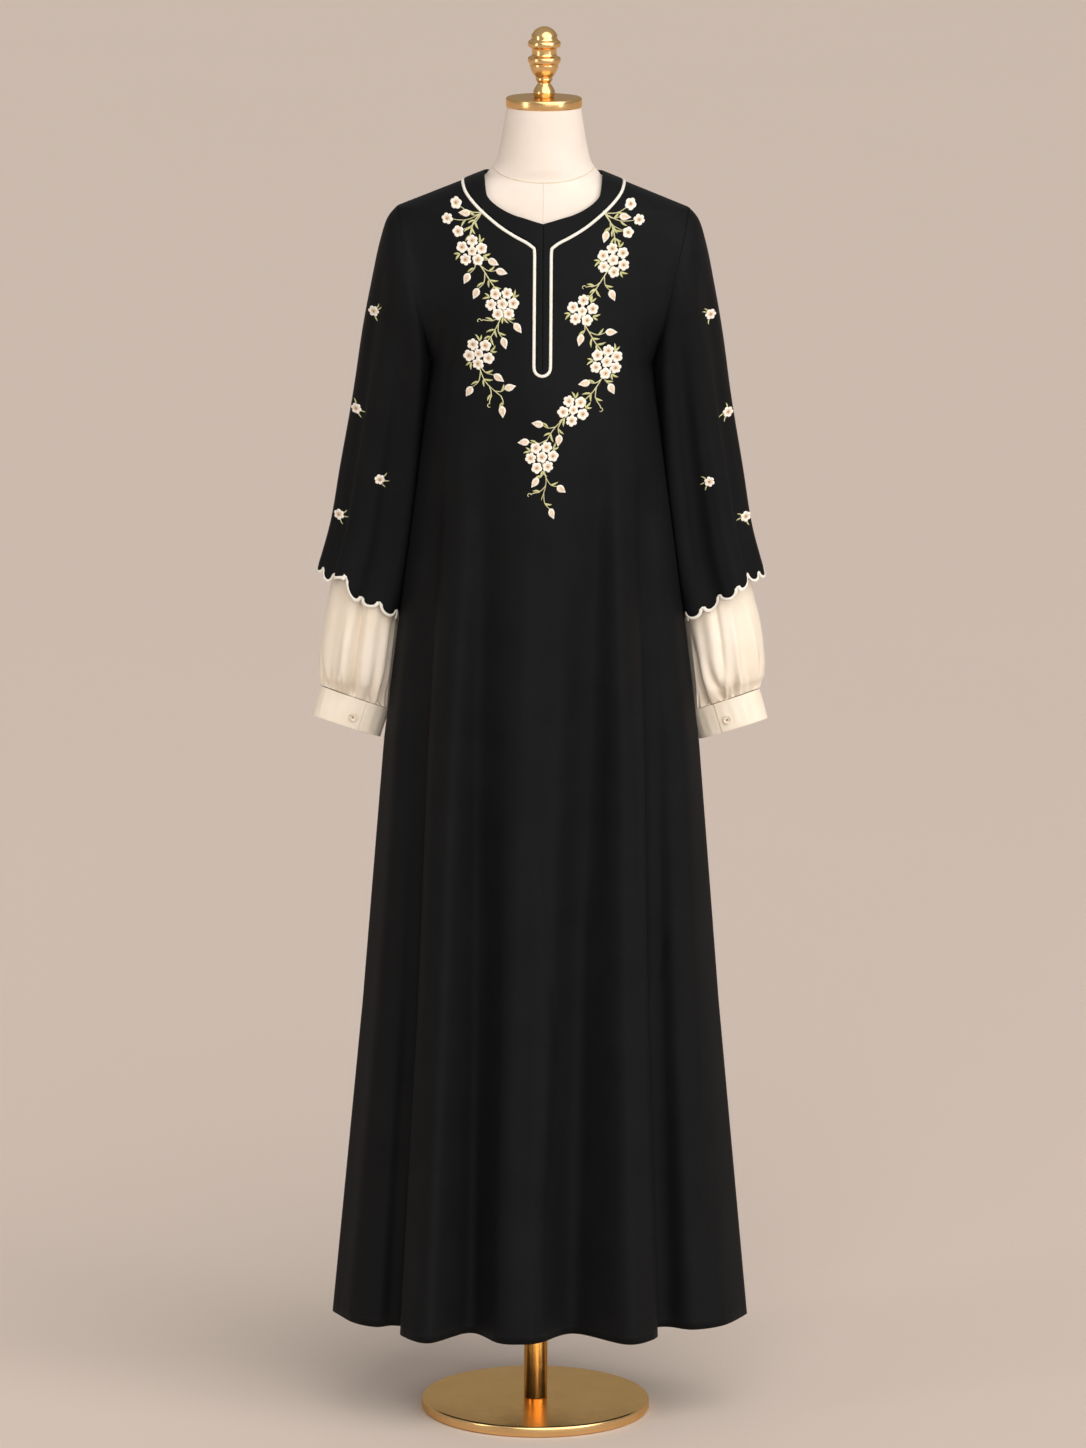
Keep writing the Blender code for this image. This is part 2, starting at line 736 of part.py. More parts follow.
def make_outer_sleeve(name, side):
    rows = outer_sleeve_rows(side)
    outwards = out_of_armhole(side)
    if side < 0:
        rows = mirrored(rows)

    # At the armhole the sleeve's wall stays outside the armhole's plane
    def inward(row, column, normal):
        lean_in = max(0.0, normal.dot(outwards))
        if row == 0:
            normal = (normal - outwards * lean_in).normalized()
        return normal

    return cloth_wall(name, rows, True, SLEEVE_WALL, BLACK_CREPE, 0.75, inward)


def make_edging(name, side):
    rows = [scallop_row(side, -EDGING_WIDTH), scallop_row(side, 0.0)]
    if side < 0:
        rows = mirrored(rows)
    return cloth_wall(name, rows, True, EDGING_WALL, CREAM_CORD, 0.6)


def outer_sleeve_normal(side, place, degrees):
    above = outer_sleeve_point(side, place - 0.05, degrees)
    below = outer_sleeve_point(side, place + 0.05, degrees)
    before = outer_sleeve_point(side, place, degrees - 1.0)
    after = outer_sleeve_point(side, place, degrees + 1.0)
    return (below - above).cross(before - after).normalized()


# The inner sleeve starts on the inside of the outer one and ends gathered on the cuff
def inner_sleeve_rows(side):
    rows = []
    turns = sleeve_turns(SLEEVE_COLUMNS)
    top = []
    inside = SLEEVE_WALL + INNER_SLEEVE_GAP
    for turn in turns:
        point = outer_sleeve_point(side, INNER_SLEEVE_TOP, turn)
        top.append(point - outer_sleeve_normal(side, INNER_SLEEVE_TOP, turn) * inside)
    rows.append(top)
    last = len(INNER_SLEEVE) - 1
    clearance = INNER_SLEEVE_CLEARANCE
    for place in range(last + 1):
        folded = smooth(place / 3.0) * smooth((last - place) / 1.5)
        gather = GATHER_DEPTH * smooth((place - 4.0) / 2.0) if place < last else 0.0
        row = []
        for column, turn in enumerate(turns):
            table, folds = INNER_SLEEVE, INNER_SLEEVE_FOLDS
            point = tube_point(table, folds, side, place, turn, folded, clearance)
            centre, _ = tube_spoke(table, place, turn)
            wave = gather if column % 2 else -gather
            row.append(point + (point - centre).normalized() * wave)
        rows.append(row)
    return rows


def make_inner_sleeve(name, side):
    rows = inner_sleeve_rows(side)
    if side < 0:
        rows = mirrored(rows)
    return cloth_wall(name, rows, True, INNER_SLEEVE_WALL, IVORY_SATIN, 0.45)


def cuff_point(place, degrees, lift=0.0):
    centre, spoke = tube_spoke(CUFF, place, degrees)
    return centre + spoke + spoke.normalized() * lift


# The cuff is one strip whose end passes under its start, below the button
def make_cuff(name, side):
    rows = []
    for place in (0.0, 0.5, 1.0):
        row = []
        for column in range(CUFF_COLUMNS + 1):
            share = column / CUFF_COLUMNS
            turn = CUFF_START_TURN - share * 360.0 * (1.0 + CUFF_LAP)
            under = smooth((share - CUFF_UNDERLAP_START) / CUFF_UNDERLAP_EASE)
            row.append(cuff_point(place, turn, -under * (CUFF_WALL + 2.0 * SEAM_GAP)))
        rows.append(row)
    if side < 0:
        rows = mirrored(rows)
    return cloth_wall(name, rows, False, CUFF_WALL, IVORY_SATIN, 0.5)


def make_button(name, side):
    place = cuff_point(0.5, BUTTON_TURN)
    nearby = cuff_point(0.5, BUTTON_TURN - 2.0) - place
    upwards = cuff_point(0.0, BUTTON_TURN) - cuff_point(1.0, BUTTON_TURN)
    out = nearby.cross(upwards).normalized()
    if out.y > 0.0:
        out = -out
    profile = [(BUTTON_HEIGHT * high, BUTTON_RADIUS * wide) for high, wide in BUTTON_PROFILE]
    made = turned_object(name, profile, 16, BUTTON_SHELL, 0.35)
    centre = place + out * 2.0 * SEAM_GAP
    if side < 0:
        centre.x *= -1.0
        out.x *= -1.0
    made.rotation_mode = "QUATERNION"
    made.rotation_quaternion = Vector((0, 0, 1)).rotation_difference(out)
    made.location = centre
    return made


# A solid turned round Z from rows of height and radius that start and end on the axis
def turned_object(name, profile, segments, colour, roughness, metallic=0.0):
    data = bmesh.new()
    corners = [data.verts.new((radius, 0.0, height)) for height, radius in profile]
    edges = [data.edges.new(pair) for pair in zip(corners, corners[1:])]
    bmesh.ops.spin(
        data,
        geom=corners + edges,
        cent=(0.0, 0.0, 0.0),
        axis=(0.0, 0.0, 1.0),
        angle=math.tau,
        steps=segments,
        use_merge=True,
    )
    bmesh.ops.remove_doubles(data, verts=data.verts[:], dist=0.00001)
    bmesh.ops.recalc_face_normals(data, faces=data.faces[:])
    return make_object(name, data, colour, roughness, metallic)


# Flat bands that lie on the body along the neckline and down the placket
def curve_points(rows, steps):
    return [row_curve(rows, (len(rows) - 1) * step / steps) for step in range(steps + 1)]


# Pairs of an inner and an outer edge point, each across and height, from the shoulder down
def front_band_stations():
    pairs = [(row[:2], row[2:]) for row in reversed(FRONT_NECK)]
    pairs[-1] = ((CENTRE_SLIT, pairs[-1][0][1]), pairs[-1][1])
    straight_end = PLACKET_END_HEIGHT + PLACKET_HALF_WIDTH
    for step in range(PLACKET_STEPS + 1):
        share = step / PLACKET_STEPS
        height = PLACKET_TOP_HEIGHT + (straight_end - PLACKET_TOP_HEIGHT) * share
        pairs.append(((CENTRE_SLIT, height), (PLACKET_HALF_WIDTH, height)))
    for step in range(1, 4):
        turn = math.radians(BAND_END_TURN * step)
        across = PLACKET_HALF_WIDTH * math.cos(turn)
        height = straight_end - PLACKET_HALF_WIDTH * math.sin(turn)
        pairs.append(((CENTRE_SLIT, height), (across, height)))
    return pairs


def band_rows(face, side, pairs):
    rows = [[], [], []]
    for inside, outside in pairs:
        for row, share in zip(rows, (0.0, 0.5, 1.0)):
            across = inside[0] + (outside[0] - inside[0]) * share
            height = inside[1] + (outside[1] - inside[1]) * share
            limit = top_height(face, across)
            lift = BAND_WALL + (BAND_LIFT if face < 0 else BACK_BAND_LIFT)
            point = on_surface(face, side * across, min(height, limit), lift)
            row.append(point)
    return rows


def make_front_band(name, side):
    rows = band_rows(-1, side, front_band_stations())
    for row in rows:
        row[0].y = -SEAM_GAP / 2.0
    if side > 0:
        rows = [list(reversed(row)) for row in rows]

    def inward(row, column, normal):
        seam = len(rows[0]) - 1 if side > 0 else 0
        if column == seam:
            normal.y = 0.0
            normal.normalize()
        return normal

    return cloth_wall(name, rows, False, BAND_WALL, BLACK_CREPE, 0.7, inward)


def make_back_band(name):
    half = [(row[:2], row[2:]) for row in reversed(BACK_NECK)]
    right = band_rows(1, 1.0, half)
    left = band_rows(1, -1.0, half[:-1])
    rows = []
    for right_row, left_row in zip(right, left):
        rows.append(right_row + list(reversed(left_row)))
    for row in rows:
        row[0].y = SEAM_GAP / 2.0
        row[-1].y = SEAM_GAP / 2.0

    def inward(row, column, normal):
        if column in (0, len(rows[0]) - 1):
            normal.y = 0.0
            normal.normalize()
        return normal

    return cloth_wall(name, rows, False, BAND_WALL, BLACK_CREPE, 0.7, inward)


# A path beside a band's edge, from the shoulder down, on the edge's outer side
def beside_edge(edge, shift):
    path = []
    for index, (across, height) in enumerate(edge):
        before = edge[max(0, index - 1)]
        after = edge[min(len(edge) - 1, index + 1)]
        run = Vector((after[0] - before[0], after[1] - before[1])).normalized()
        path.append((across - run.y * shift, height + run.x * shift))
    return path


# The piping's path on the right half of the front
def piping_half_path():
    shift = PIPING_WIDTH / 2.0 + SEAM_GAP
    edge = curve_points([row[2:] for row in reversed(FRONT_NECK)], 14)
    edge.append([PLACKET_HALF_WIDTH, PLACKET_TOP_HEIGHT])
    path = beside_edge(edge, shift)
    radius = PLACKET_HALF_WIDTH + shift
    straight_end = PLACKET_END_HEIGHT + PLACKET_HALF_WIDTH
    for step in range(1, 5):
        height = PLACKET_TOP_HEIGHT + (straight_end - PLACKET_TOP_HEIGHT) * step / 4
        path.append((radius, height))
    for step in range(1, 5):
        turn = math.radians(90.0 * step / 4)
        path.append((radius * math.cos(turn), straight_end - radius * math.sin(turn)))
    return path


def piping_back_path():
    edge = [row[2:] for row in reversed(BACK_NECK)]
    return beside_edge(edge, PIPING_WIDTH / 2.0 + SEAM_GAP)[1:]


def make_piping(name):
    front = [(-1, across, height) for across, height in piping_half_path()]
    back = [(1, across, height) for across, height in piping_back_path()]
    spots = list(front)
    spots += [(face, -across, height) for face, across, height in reversed(front[:-1])]
    spots += [(face, -across, height) for face, across, height in back]
    spots += reversed(back[:-1])
    middle = []
    normals = []
    for face, across, height in spots:
        height = min(height, top_height(face, across))
        middle.append(on_surface(face, across, height, BAND_LIFT))
        normals.append(surface_normal(face, on_surface(face, across, height)))
    data = bmesh.new()
    rings = []
    half = PIPING_WIDTH / 2.0
    section = (
        (-half, 0.0),
        (-half * 0.6, PIPING_HEIGHT),
        (half * 0.6, PIPING_HEIGHT),
        (half, 0.0),
    )
    for index, (point, normal) in enumerate(zip(middle, normals)):
        run = middle[(index + 1) % len(middle)] - middle[index - 1]
        beside = normal.cross(run).normalized()
        rings.append([data.verts.new(point + beside * s + normal * h) for s, h in section])
    for index, ring in enumerate(rings):
        ahead = rings[(index + 1) % len(rings)]
        for corner in range(len(section)):
            other = (corner + 1) % len(section)
            data.faces.new((ring[corner], ahead[corner], ahead[other], ring[other]))
    bmesh.ops.recalc_face_normals(data, faces=data.faces[:])
    return make_object(name, data, CREAM_CORD, 0.55)


def make_form(name):
    data = bmesh.new()
    rings = []
    for height, half_width, front, back in FORM_SECTIONS:
        ring = []
        for column in range(FORM_COLUMNS):
            turn = math.tau * column / FORM_COLUMNS
            depth = back if math.sin(turn) > 0.0 else front
            x = half_width * math.cos(turn)
            ring.append(data.verts.new((x, depth * math.sin(turn), height)))
        rings.append(ring)
    for upper, lower in zip(rings, rings[1:]):
        for column in range(FORM_COLUMNS):
            right = (column + 1) % FORM_COLUMNS
            data.faces.new((upper[column], lower[column], lower[right], upper[right]))
    data.faces.new(rings[0])
    data.faces.new(list(reversed(rings[-1])))
    bmesh.ops.recalc_face_normals(data, faces=data.faces[:])
    return make_object(name, data, FORM_COVER, 0.7)


def make_stand():
    edge = BASE_EDGE
    corner = edge * 0.3
    base_profile = (
        (0.0, 0.0),
        (0.0, BASE_RADIUS - edge),
        (corner, BASE_RADIUS - corner),
        (edge, BASE_RADIUS),
        (BASE_HEIGHT - edge, BASE_RADIUS),
        (BASE_HEIGHT - corner, BASE_RADIUS - corner),
        (BASE_HEIGHT, BASE_RADIUS - edge),
        (BASE_HEIGHT, 0.0),
    )
    turned_object("base_disc", base_profile, 48, BRASS, 0.25, 1.0)
    pole_bottom = BASE_HEIGHT + SEAM_GAP
    pole_length = FORM_BOTTOM - SEAM_GAP - pole_bottom
    pole_profile = ((0.0, 0.0), (0.0, POLE_RADIUS), (pole_length, POLE_RADIUS), (pole_length, 0.0))
    pole = turned_object("pole", pole_profile, 24, BRASS, 0.25, 1.0)
    pole.location = (0.0, 0.0, pole_bottom)
    cap_profile = (
        (0.0, 0.0),
        (0.0, CAP_RADIUS - CAP_RIM),
        (CAP_RIM, CAP_RADIUS),
        (CAP_HEIGHT - CAP_RIM, CAP_RADIUS),
        (CAP_HEIGHT, CAP_RADIUS - CAP_RIM),
        (CAP_HEIGHT, 0.0),
    )
    cap = turned_object("neck_cap", cap_profile, 32, BRASS, 0.25, 1.0)
    cap.location = (0.0, 0.0, CAP_BOTTOM)
    finial_profile = ((0.0, 0.0),) + FINIAL_PROFILE
    finial = turned_object("finial", finial_profile, 16, BRASS, 0.22, 1.0)
    finial.location = (0.0, 0.0, CAP_BOTTOM + CAP_HEIGHT + SEAM_GAP)


clear_scene()
make_panel("front_panel", -1)
make_panel("back_panel", 1)
for side_name, side_sign in (("left", -1), ("right", 1)):
    make_front_band("neckband_" + side_name, side_sign)
    make_outer_sleeve("outer_sleeve_" + side_name, side_sign)
    make_edging("scallop_edging_" + side_name, side_sign)
    make_inner_sleeve("inner_sleeve_" + side_name, side_sign)
    make_cuff("cuff_" + side_name, side_sign)
    make_button("button_" + side_name, side_sign)
make_back_band("neckband_back")
make_piping("piping")
make_form("dress_form")
make_stand()
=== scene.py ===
import math

import bpy
import numpy as np
from mathutils import Matrix, Vector


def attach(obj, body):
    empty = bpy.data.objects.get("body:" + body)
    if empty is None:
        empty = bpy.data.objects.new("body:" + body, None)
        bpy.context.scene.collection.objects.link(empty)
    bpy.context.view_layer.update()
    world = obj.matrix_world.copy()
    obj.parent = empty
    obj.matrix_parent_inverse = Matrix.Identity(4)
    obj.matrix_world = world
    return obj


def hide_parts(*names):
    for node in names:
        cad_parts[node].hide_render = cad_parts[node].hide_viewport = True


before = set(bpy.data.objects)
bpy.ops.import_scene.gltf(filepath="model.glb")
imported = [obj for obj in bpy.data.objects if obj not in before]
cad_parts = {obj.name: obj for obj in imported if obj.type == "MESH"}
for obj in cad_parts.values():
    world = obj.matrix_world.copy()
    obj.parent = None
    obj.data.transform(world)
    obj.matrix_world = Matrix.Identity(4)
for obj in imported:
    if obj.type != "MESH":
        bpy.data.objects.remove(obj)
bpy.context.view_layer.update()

bpy.ops.object.select_all(action="DESELECT")
print("frame loaded:", len(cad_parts), "nodes")


# small maths

def smooth(share):
    share = min(1.0, max(0.0, share))
    return share * share * (3.0 - 2.0 * share)


def straightValue(rows, position, column):
    for low, high in zip(rows, rows[1:]):
        if position <= high[0]:
            share = (position - low[0]) / (high[0] - low[0])
            return low[column] + (high[column] - low[column]) * max(0.0, share)
    return rows[-1][column]


def smoothValue(rows, position, column):
    for index, (low, high) in enumerate(zip(rows, rows[1:])):
        if position <= high[0]:
            before = rows[max(0, index - 1)]
            after = rows[min(len(rows) - 1, index + 2)]
            width = high[0] - low[0]
            share = max(0.0, (position - low[0]) / width)
            lowSlope = (high[column] - before[column]) / (high[0] - before[0])
            highSlope = (after[column] - low[column]) / (after[0] - low[0])
            value = low[column] + (high[column] - low[column]) * smooth(share)
            value += lowSlope * width * share * (1.0 - share) ** 2
            value -= highSlope * width * share ** 2 * (1.0 - share)
            return value
    return rows[-1][column]


def curveValue(before, start, end, after, share):
    result = []
    for a, b, c, d in zip(before, start, end, after):
        bend = 2.0 * b + (c - a) * share
        bend += (2.0 * a - 5.0 * b + 4.0 * c - d) * share ** 2
        bend += (3.0 * b - a - 3.0 * c + d) * share ** 3
        result.append(bend / 2.0)
    return result


def rowCurve(rows, position):
    index = min(int(position), len(rows) - 2)
    before = rows[max(0, index - 1)]
    after = rows[min(len(rows) - 1, index + 2)]
    return curveValue(before, rows[index], rows[index + 1], after, position - index)


def alongRows(rows, count):
    return [rowCurve(rows, (len(rows) - 1) * step / (count - 1)) for step in range(count)]


# the cut and hang of the body, in metres

body = {
    "hem": 0.1253,
    "armpit": (0.1405, 1.3600),  # across, height
    "shoulderTip": (0.1825, 1.5530),
    "neckPoint": (0.0740, 1.5964),
    "armpitEase": 0.090,
    "armholeHalfDepth": 0.052,
    "creaseGrowth": 1.55,
    "foldTop": 1.330,
    "foldGrowth": 0.8,
    "foldEase": 0.15,
    "wall": 0.0012,
    "widths": (  # height, half width below the armpit
        (0.1253, 0.2650), (0.5365, 0.2262), (0.8752, 0.1992),
        (1.0283, 0.1808), (1.2365, 0.1552), (1.3600, 0.1405),
    ),
    "depths": (  # height, depth in front, depth behind, squareness
        (0.1253, 0.1280, 0.1280, 0.50), (0.5365, 0.1270, 0.1200, 0.50),
        (0.8752, 0.1265, 0.1120, 0.50), (1.1000, 0.1280, 0.1060, 0.51),
        (1.2000, 0.1290, 0.1040, 0.53), (1.2500, 0.1285, 0.1035, 0.54),
        (1.2900, 0.1268, 0.1035, 0.55), (1.3300, 0.1230, 0.1040, 0.57),
        (1.3600, 0.1185, 0.1035, 0.58), (1.3900, 0.1125, 0.1025, 0.59),
        (1.4200, 0.1055, 0.1005, 0.60), (1.4600, 0.0955, 0.0965, 0.60),
        (1.5000, 0.0845, 0.0900, 0.57), (1.5400, 0.0705, 0.0790, 0.52),
        (1.5530, 0.0670, 0.0750, 0.50), (1.5700, 0.0630, 0.0690, 0.50),
        (1.5964, 0.0560, 0.0570, 0.50),
    ),
    "frontNeck": (  # neckline across and height, band's edge across and height
        (0.0000, 1.5400, 0.0085, 1.5120), (0.0100, 1.5428, 0.0190, 1.5195),
        (0.0220, 1.5465, 0.0330, 1.5265), (0.0360, 1.5505, 0.0500, 1.5365),
        (0.0498, 1.5567, 0.0640, 1.5470), (0.0625, 1.5650, 0.0780, 1.5590),
        (0.0700, 1.5735, 0.0880, 1.5690), (0.0725, 1.5840, 0.0945, 1.5770),
        (0.0733, 1.5915, 0.0974, 1.5830), (0.0738, 1.5952, 0.0982, 1.5858),
        (0.0740, 1.5964, 0.0985, 1.5866),
    ),
    "backNeck": (
        (0.0000, 1.5840, 0.0000, 1.5580), (0.0220, 1.5850, 0.0310, 1.5590),
        (0.0430, 1.5878, 0.0590, 1.5626), (0.0580, 1.5916, 0.0780, 1.5688),
        (0.0675, 1.5946, 0.0900, 1.5764), (0.0722, 1.5960, 0.0965, 1.5832),
        (0.0740, 1.5964, 0.0985, 1.5866),
    ),
    "frontFolds": (  # turn round the body, hem across, hem depth
        (-90.0, -0.2620, 0.0000), (-80.0, -0.2330, 0.0560), (-73.0, -0.2050, 0.0770),
        (-65.0, -0.1830, 0.0690), (-57.0, -0.1665, 0.0740), (-50.0, -0.1715, 0.1130),
        (-40.0, -0.1365, 0.1530), (-28.8, -0.0838, 0.1020), (-12.0, -0.0480, 0.1490),
        (0.0, -0.0200, 0.1560), (12.0, 0.0050, 0.1470), (31.0, 0.0484, 0.1020),
        (40.0, 0.1165, 0.1530), (49.0, 0.1535, 0.1160), (56.0, 0.1490, 0.0740),
        (64.0, 0.1690, 0.0670), (73.0, 0.2003, 0.0800), (80.0, 0.2405, 0.0570),
        (90.0, 0.2715, 0.0000),
    ),
    "backFolds": (
        (-90.0, -0.2620, 0.0000), (-78.0, -0.2400, 0.0620), (-66.0, -0.2060, 0.0960),
        (-55.0, -0.1720, 0.0840), (-43.0, -0.1330, 0.1500), (-29.0, -0.0700, 0.1040),
        (-12.0, -0.0350, 0.1430), (0.0, 0.0060, 0.1560), (12.0, 0.0400, 0.1400),
        (29.0, 0.0760, 0.1030), (42.0, 0.1330, 0.1500), (54.0, 0.1740, 0.0900),
        (66.0, 0.2080, 0.1000), (78.0, 0.2475, 0.0600), (90.0, 0.2715, 0.0000),
    ),
    # creases that run down the cloth: (height, across) points, half width, rise
    "frontCreases": (
        (((0.953, -0.1297), (0.794, -0.1374), (0.570, -0.1453),
          (0.314, -0.1659), (0.139, -0.1736)), 0.0075, 0.0030),
        (((1.080, -0.1690), (0.953, -0.1750), (0.730, -0.1862),
          (0.464, -0.2084), (0.147, -0.2383)), 0.0080, 0.0024),
        (((0.980, 0.1165), (0.634, 0.1280), (0.370, 0.1362), (0.139, 0.1517)), 0.0070, 0.0030),
        (((1.080, 0.1690), (0.953, 0.1780), (0.634, 0.1945),
          (0.370, 0.2070), (0.249, 0.2176)), 0.0080, 0.0024),
        (((0.820, -0.0020), (0.729, 0.0005), (0.507, 0.0262), (0.249, 0.0120)), 0.0060, -0.0016),
        (((0.640, 0.1600), (0.607, 0.1550), (0.536, 0.1350)), 0.0050, -0.0020),
        (((1.425, -0.1265), (1.415, -0.1270), (1.355, -0.1345), (1.300, -0.1370)), 0.0042, -0.0016),
        (((1.420, -0.1060), (1.412, -0.1065), (1.352, -0.1190), (1.290, -0.1240)), 0.0046, -0.0014),
        (((1.425, 0.1255), (1.415, 0.1260), (1.355, 0.1340), (1.300, 0.1370)), 0.0042, -0.0016),
        (((1.405, 0.1080), (1.395, 0.1090), (1.330, 0.1180), (1.260, 0.1230)), 0.0050, -0.0014),
        (((1.300, -0.0620), (1.150, -0.0700), (0.900, -0.0780), (0.700, -0.0800)), 0.0120, -0.0026),
        (((1.290, 0.0680), (1.150, 0.0740), (0.900, 0.0760), (0.700, 0.0720)), 0.0120, -0.0026),
        (((1.250, -0.0180), (1.000, -0.0220), (0.700, -0.0330), (0.350, -0.0420)), 0.0150, 0.0020),
        (((1.200, 0.0300), (1.000, 0.0300), (0.700, 0.0230), (0.350, 0.0100)), 0.0140, 0.0018),
    ),
    "backCreases": (
        (((1.000, -0.1280), (0.600, -0.1330), (0.139, -0.1400)), 0.0090, 0.0028),
        (((1.000, 0.1260), (0.600, 0.1320), (0.139, 0.1400)), 0.0090, 0.0028),
        (((1.150, -0.0180), (0.700, -0.0080), (0.200, 0.0040)), 0.0140, 0.0022),
        (((1.300, -0.0650), (1.000, -0.0700), (0.600, -0.0720)), 0.0130, -0.0008),
        (((1.300, 0.0650), (1.000, 0.0700), (0.600, 0.0740)), 0.0130, -0.0008),
        (((1.420, -0.1230), (1.350, -0.1280), (1.280, -0.1330)), 0.0045, -0.0014),
        (((1.420, 0.1230), (1.350, 0.1280), (1.280, 0.1330)), 0.0045, -0.0014),
    ),
}


def bodyHalfWidth(height):
    tipAcross, tipHeight = body["shoulderTip"]
    if height >= tipHeight:
        neckAcross, neckHeight = body["neckPoint"]
        share = (neckHeight - height) / (neckHeight - tipHeight)
        return neckAcross + share * (tipAcross - neckAcross)
    across, armpit = body["armpit"]
    if height >= armpit:
        return across + (height - armpit) / (tipHeight - armpit) * (tipAcross - across)
    return straightValue(body["widths"], height, 1)


armpitCorner = (
    bodyHalfWidth(body["armpit"][1] - body["armpitEase"])
    + bodyHalfWidth(body["armpit"][1] + body["armpitEase"])
) / 2.0 - body["armpit"][0]


def armholeHalfOpening(height):
    tip, armpit = body["shoulderTip"][1], body["armpit"][1]
    share = (height - (tip + armpit) / 2.0) / ((tip - armpit) / 2.0)
    return body["armholeHalfDepth"] * math.sqrt(max(0.0, 1.0 - share * share))


# the armpit's corner belongs to the sides, the middle of the body passes it gently
def sideShare(across, height):
    plain = bodyHalfWidth(height)
    rounding = max(0.0, 1.0 - abs(height - body["armpit"][1]) / body["armpitEase"]) ** 2
    share = min(1.0, abs(across) / plain)
    eased = plain + armpitCorner * rounding / 2.0 * (1.0 - share ** 6)
    return min(1.0, abs(across) / eased)


def surfaceDepth(face, across, height):
    side = sideShare(across, height)
    power = smoothValue(body["depths"], height, 3)
    crown = smoothValue(body["depths"], height, 1 if face < 0 else 2)
    crown *= (1.0 - side * side) ** power
    return math.hypot(crown, armholeHalfOpening(height) * side ** 3)


def surfaceLevel(face, x, y, z):
    side = sideShare(x, z)
    beyond = max(0.0, abs(x) / bodyHalfWidth(z) - 1.0)
    power = smoothValue(body["depths"], z, 3)
    depth = smoothValue(body["depths"], z, 1 if face < 0 else 2)
    opening = armholeHalfOpening(z) * side ** 3
    crown = max(0.0, y ** 2 - opening ** 2) / depth ** 2
    return crown ** (0.5 / power) + side * side + 2.0 * beyond


def surfaceNormal(face, x, y, z):
    step = 0.0004
    normal = Vector((
        surfaceLevel(face, x + step, y, z) - surfaceLevel(face, x - step, y, z),
        surfaceLevel(face, x, y + step, z) - surfaceLevel(face, x, y - step, z),
        surfaceLevel(face, x, y, z + step) - surfaceLevel(face, x, y, z - step),
    ))
    if abs(y) < step:
        normal.y = 0.0
    return normal.normalized()


def onSurface(face, across, height, lift=0.0):
    spot = Vector((across, face * surfaceDepth(face, across, height), height))
    return spot + surfaceNormal(face, *spot) * lift


def topHeight(face, across):
    across = abs(across)
    neckAcross, neckHeight = body["neckPoint"]
    tipAcross, tipHeight = body["shoulderTip"]
    if across >= neckAcross - 1e-6:
        share = (across - neckAcross) / (tipAcross - neckAcross)
        return neckHeight - share * (neckHeight - tipHeight)
    return straightValue(body["frontNeck" if face < 0 else "backNeck"], across, 1)


def hemCourse(folds, degrees):
    for index, (low, high) in enumerate(zip(folds, folds[1:])):
        if degrees <= high[0]:
            share = max(0.0, (degrees - low[0]) / (high[0] - low[0]))
            return rowCurve(folds, index + share)[1:]
    return list(folds[-1][1:])


def foldShare(height):
    share = (body["foldTop"] - height) / (body["foldTop"] - body["hem"])
    if share <= 0.0:
        return 0.0
    return share ** body["foldGrowth"] * smooth(share / body["foldEase"])


def creaseRise(face, across, height):
    rise = 0.0
    for line, halfWidth, depth in body["frontCreases" if face < 0 else "backCreases"]:
        top, low = line[0][0], line[-1][0]
        if low - 0.05 < height < top + 0.05:
            middle = straightValue(tuple(reversed(line)), height, 1)
            away = (across - middle) / halfWidth
            if abs(away) < 2.6:
                length = top - low
                ends = smooth((top - height) / (0.35 * length) + 0.1)
                ends *= smooth((height - low) / min(0.12, 0.3 * length) + 0.6)
                growth = body["creaseGrowth"] if depth > 0.0 else 1.0
                rise += growth * depth * math.exp(-away * away) * ends
    return rise


def panelPoint(face, degrees, height, shift=0.0):
    side = math.sin(math.radians(degrees))
    across = side * bodyHalfWidth(min(height, body["shoulderTip"][1])) + shift
    depth = surfaceDepth(face, across, height)
    share = foldShare(height)
    if share > 0.0:
        hemAcross, hemDepth = hemCourse(body["frontFolds" if face < 0 else "backFolds"], degrees)
        plainAcross = side * bodyHalfWidth(body["hem"])
        plainDepth = surfaceDepth(face, plainAcross, body["hem"])
        across += share * (hemAcross - plainAcross)
        depth += share * (hemDepth - plainDepth)
    edge = smooth((90.0 - abs(degrees)) / 8.0)
    depth += creaseRise(face, across, height) * edge
    return (across, face * max(depth, 0.00015), height)


def clothSpot(face, across, height):
    width = bodyHalfWidth(min(height, body["shoulderTip"][1]))
    turn = math.degrees(math.asin(max(-1.0, min(1.0, across / width))))
    return Vector(panelPoint(face, turn, height))


def clothFrame(face, across, height):
    step = 0.0006
    run = clothSpot(face, across + step, height) - clothSpot(face, across - step, height)
    rise = clothSpot(face, across, height + step) - clothSpot(face, across, height - step)
    normal = run.cross(rise).normalized()
    if normal.y * face < 0.0:
        normal = -normal
    return clothSpot(face, across, height), normal


# finishes

def newFinish(name):
    finish = bpy.data.materials.new(name)
    finish.use_nodes = True
    tree = finish.node_tree
    return finish, tree, tree.nodes["Principled BSDF"]


def addNode(tree, kind, **inputs):
    node = tree.nodes.new(kind)
    for key, value in inputs.items():
        node.inputs[key].default_value = value
    return node


def noiseNode(tree, coords, scale, detail, roughness=0.5):
    node = addNode(tree, "ShaderNodeTexNoise", Scale=scale, Detail=detail, Roughness=roughness)
    tree.links.new(coords, node.inputs["Vector"])
    return node.outputs["Fac"]


def stretched(tree, coords, scale):
    node = addNode(tree, "ShaderNodeMapping", Scale=scale)
    tree.links.new(coords, node.inputs["Vector"])
    return node.outputs["Vector"]


